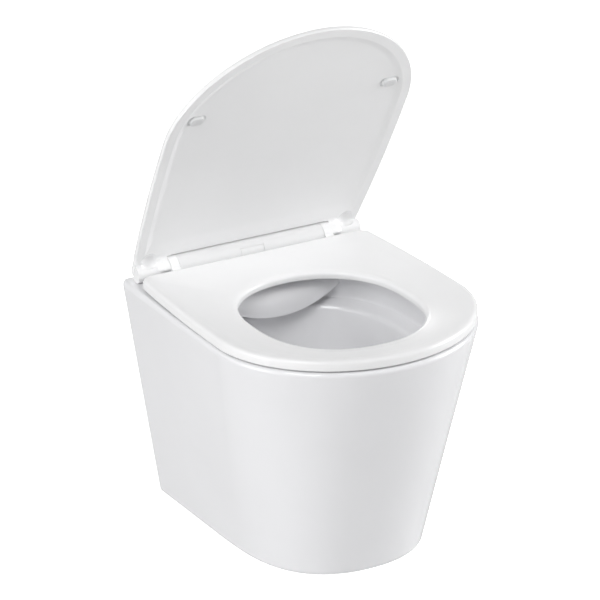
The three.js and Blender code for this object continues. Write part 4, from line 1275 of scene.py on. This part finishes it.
@dataclass
class HingeBar:
    """The barrel that clips over the two pillars, and its release button."""

    half: float = 108.5
    radius: float = 16.8
    skirt_gap: float = 0.8
    ease: float = 0.6
    plate_x: float = 69.75
    plate_length: float = 44.0
    plate_width: float = 23.0
    plate_top: float = 4.4
    pillar_x: float = 62.0
    pillar_radius: float = 4.5
    pillar_top: float = 21.0
    damper_length: float = 38.0
    damper_radius: float = 6.4
    clip_level: float = 14.0
    clip_outer: float = 5.2
    slot_half: float = 1.0
    pusher_half: float = 53.0
    pusher_back: float = 3.0
    pusher_slot: float = 5.6
    spring_x: float = 11.3
    spring_reach: float = 11.2
    button_half: float = 17.0
    button_ease: float = 0.5
    button_seat: float = 8.4
    button_low: float = -4.0
    button_high: float = 38.0
    button_travel: float = 3.0

    def barrel(self) -> Piece:
        """The barrel before it is cut: a round with a flat foot just above the rim.

        Returns:
            The new object.
        """
        foot = math.degrees(math.asin((SITE.hinge_above_rim - self.skirt_gap) / self.radius))
        section = arc_points(self.radius, -foot, 180 + foot, 84)
        return side_stack("barrel_moulding", section, self.half, self.ease, (0.0, SITE.axis))

    def cutters(self) -> list[Piece]:
        """The spaces for the plates, pillars, dampers, clips, pusher and button.

        Returns:
            The solids to cut away.
        """
        gap, y = SITE.gap, -SITE.hinge_to_wall
        foot = SITE.rim + self.skirt_gap - SITE.overrun
        level = SITE.rim + self.clip_level
        low, high = level - self.slot_half, level + self.slot_half
        made = []
        for side in SIDES:
            ring = stadium(side * self.plate_x, 0.0, self.plate_length + 2 * gap, self.plate_width + 2 * gap)
            made.append(plan_prism("plate_pocket", ring, foot, SITE.rim + self.plate_top))
            x = side * self.pillar_x
            top = SITE.rim + self.pillar_top + gap
            made.append(rod("pillar_hole", [x, y, foot], [x, y, top], self.pillar_radius + gap, sides=32))
            start, end = side * (self.half - self.damper_length - gap), side * (self.half + SITE.overrun)
            bore = self.damper_radius + gap
            made.append(rod("damper_bore", [start, y, SITE.axis], [end, y, SITE.axis], bore))
            reach = self.clip_outer + gap
            inner, outer = sorted([side * (self.pusher_half - gap), side * (self.pillar_x + reach)])
            made.append(block("clip_slot", (inner, y - reach, low), (outer, y + reach, high)))
            x = side * self.spring_x
            made.append(rod(
                "spring_bore", [x, y + self.pusher_back, level], [x, y + self.spring_reach, level],
                self.slot_half + gap, sides=24,
            ))
        reach, back = self.pusher_half + gap, self.pusher_back + gap
        made.append(block("pusher_slot", (-reach, y - back - self.pusher_slot, low), (reach, y + back, high)))
        reach = self.button_half + gap
        low, high = (self.radius * math.sin(math.radians(turn)) for turn in (self.button_low, self.button_high))
        made.append(block(
            "button_window", (-reach, y - self.radius - SITE.overrun, SITE.axis + low - gap),
            (reach, y - self.button_seat + gap, SITE.axis + high + gap),
        ))
        return made

    def button(self) -> Piece:
        """The button: the barrel's own curve in front, with softly rounded edges.

        Returns:
            The new object.
        """
        face = arc_points(self.radius, self.button_low, self.button_high, 18)
        back = self.button_seat + self.button_travel
        section = np.concatenate([face, [[back, face[-1, 1]], [back, face[0, 1]]]])
        middle = ((self.radius + back) / 2, float(section[:, 1].mean()))
        return side_stack("button_cap", section, self.button_half, self.button_ease, middle)

    def build(self, shop: Workshop) -> None:
        """Makes the barrel and the button.

        Args:
            shop: Where finishes and bodies are kept.
        """
        barrel = combine(self.barrel(), self.cutters(), "DIFFERENCE")
        smooth(barrel)
        shop.dress(barrel, Slot.HINGE, Body.BAR, "hinge_barrel")
        button = self.button()
        smooth(button, 50)
        shop.dress(button, Slot.HINGE, Body.BUTTON, "release_button")


@dataclass(frozen=True)
class Lamp:
    """A square lamp: its place and side in millimetres, and its power in watts."""

    name: str
    place: tuple[float, float, float]
    side: float
    power: float


@dataclass
class Studio:
    """The plain floor, the soft lamps, the white world and the camera."""

    floor_height: float = -420.0
    floor_half: float = 12000.0
    floor_tone: float = 0.82
    floor_lift: float = 0.66
    target: tuple[float, float, float] = (-30.22, -211.0, 97.69)
    azimuth: float = -30.17
    elevation: float = 23.0
    distance: float = 6090.5
    lens: float = 286.65
    world_level: float = 0.23
    lamps: tuple[Lamp, ...] = (
        Lamp("key", (-2200.0, -1900.0, 2600.0), 1600.0, 50.0),
        Lamp("front", (300.0, -2600.0, 3000.0), 1800.0, 16.0),
        Lamp("left_fill", (-3300.0, -300.0, 700.0), 1800.0, 38.0),
        Lamp("right_fill", (3000.0, -1200.0, 900.0), 1800.0, 70.0),
        Lamp("rear_fill", (900.0, 3600.0, 700.0), 1800.0, 34.0),
    )

    def camera(self) -> None:
        """The camera at the photograph's angle."""
        data = bpy.data.cameras.new("camera")
        data.lens = self.lens
        data.sensor_width = 36.0
        data.clip_end = 100.0
        camera = bpy.data.objects.new("camera", data)
        bpy.context.scene.collection.objects.link(camera)
        a, e = math.radians(self.azimuth), math.radians(self.elevation)
        back = np.array([math.sin(a) * math.cos(e), -math.cos(a) * math.cos(e), math.sin(e)])
        camera.location = (np.array(self.target) + back * self.distance) * MM
        camera.rotation_euler = (math.pi / 2 - e, 0.0, a)
        bpy.context.scene.camera = camera

    def floor(self) -> None:
        """The pale floor, lifted to white for the camera but still taking shadows."""
        corners = self.floor_half * np.array([[-1, -1, 0], [1, -1, 0], [1, 1, 0], [-1, 1, 0]], float)
        floor = write_mesh("floor", corners + [0, 0, self.floor_height], np.array([[0, 1, 2, 3]]))
        made = bpy.data.materials.new("pale_floor")
        made.use_nodes = True
        tree = made.node_tree
        shader = tree.nodes["Principled BSDF"]
        shader.inputs["Base Color"].default_value = (self.floor_tone, self.floor_tone, self.floor_tone, 1.0)
        shader.inputs["Roughness"].default_value = 0.9
        shader.inputs["Specular IOR Level"].default_value = 0.1
        shader.inputs["Emission Color"].default_value = (1.0, 1.0, 1.0, 1.0)
        path = add_node(tree, "LightPath", {})
        lift = add_node(tree, "Math", {1: self.floor_lift})
        lift.operation = "MULTIPLY"
        tree.links.new(path.outputs["Is Camera Ray"], lift.inputs[0])
        tree.links.new(lift.outputs["Value"], shader.inputs["Emission Strength"])
        floor.data.materials.append(made)

    def world(self) -> None:
        """A white world for the camera and for reflections, and a softer one for light."""
        world = bpy.data.worlds.new("studio")
        world.use_nodes = True
        bpy.context.scene.world = world
        tree = world.node_tree
        back = tree.nodes["Background"]
        back.inputs["Color"].default_value = (1.0, 1.0, 1.0, 1.0)
        path = add_node(tree, "LightPath", {})
        seen = path.outputs["Is Camera Ray"]
        for ray in ("Is Glossy Ray", "Is Transmission Ray"):
            either = add_node(tree, "Math", {})
            either.operation = "MAXIMUM"
            tree.links.new(seen, either.inputs[0])
            tree.links.new(path.outputs[ray], either.inputs[1])
            seen = either.outputs["Value"]
        spread = add_node(tree, "MapRange", {"To Min": self.world_level, "To Max": 1.0})
        tree.links.new(seen, spread.inputs["Value"])
        tree.links.new(spread.outputs["Result"], back.inputs["Strength"])

    def light(self, lamp: Lamp) -> None:
        """Hangs a lamp and aims it at the toilet.

        Args:
            lamp: The lamp.
        """
        data = bpy.data.lights.new(lamp.name, "AREA")
        data.shape = "SQUARE"
        data.size = lamp.side * MM
        data.energy = lamp.power
        made = bpy.data.objects.new(lamp.name, data)
        bpy.context.scene.collection.objects.link(made)
        made.location = np.array(lamp.place) * MM
        aim = np.array(self.target) - np.array(lamp.place)
        aim /= np.linalg.norm(aim)
        made.rotation_euler = (math.acos(-aim[2]), 0.0, math.atan2(aim[0], -aim[1]) + math.pi)

    def build(self) -> None:
        """Sets up the whole studio."""
        bpy.context.scene.view_settings.view_transform = "Standard"
        self.camera()
        self.floor()
        self.world()
        for lamp in self.lamps:
            self.light(lamp)


def main() -> None:
    """Builds the toilet and the studio."""
    logging.basicConfig(level=logging.INFO, format="%(message)s")
    Studio().build()
    shop = Workshop()
    for assembly in (Pan(), Seat(), HingeBar(), Lid()):
        assembly.build(shop)
    shop.dress_nodes()


if __name__ == "__main__":
    main()
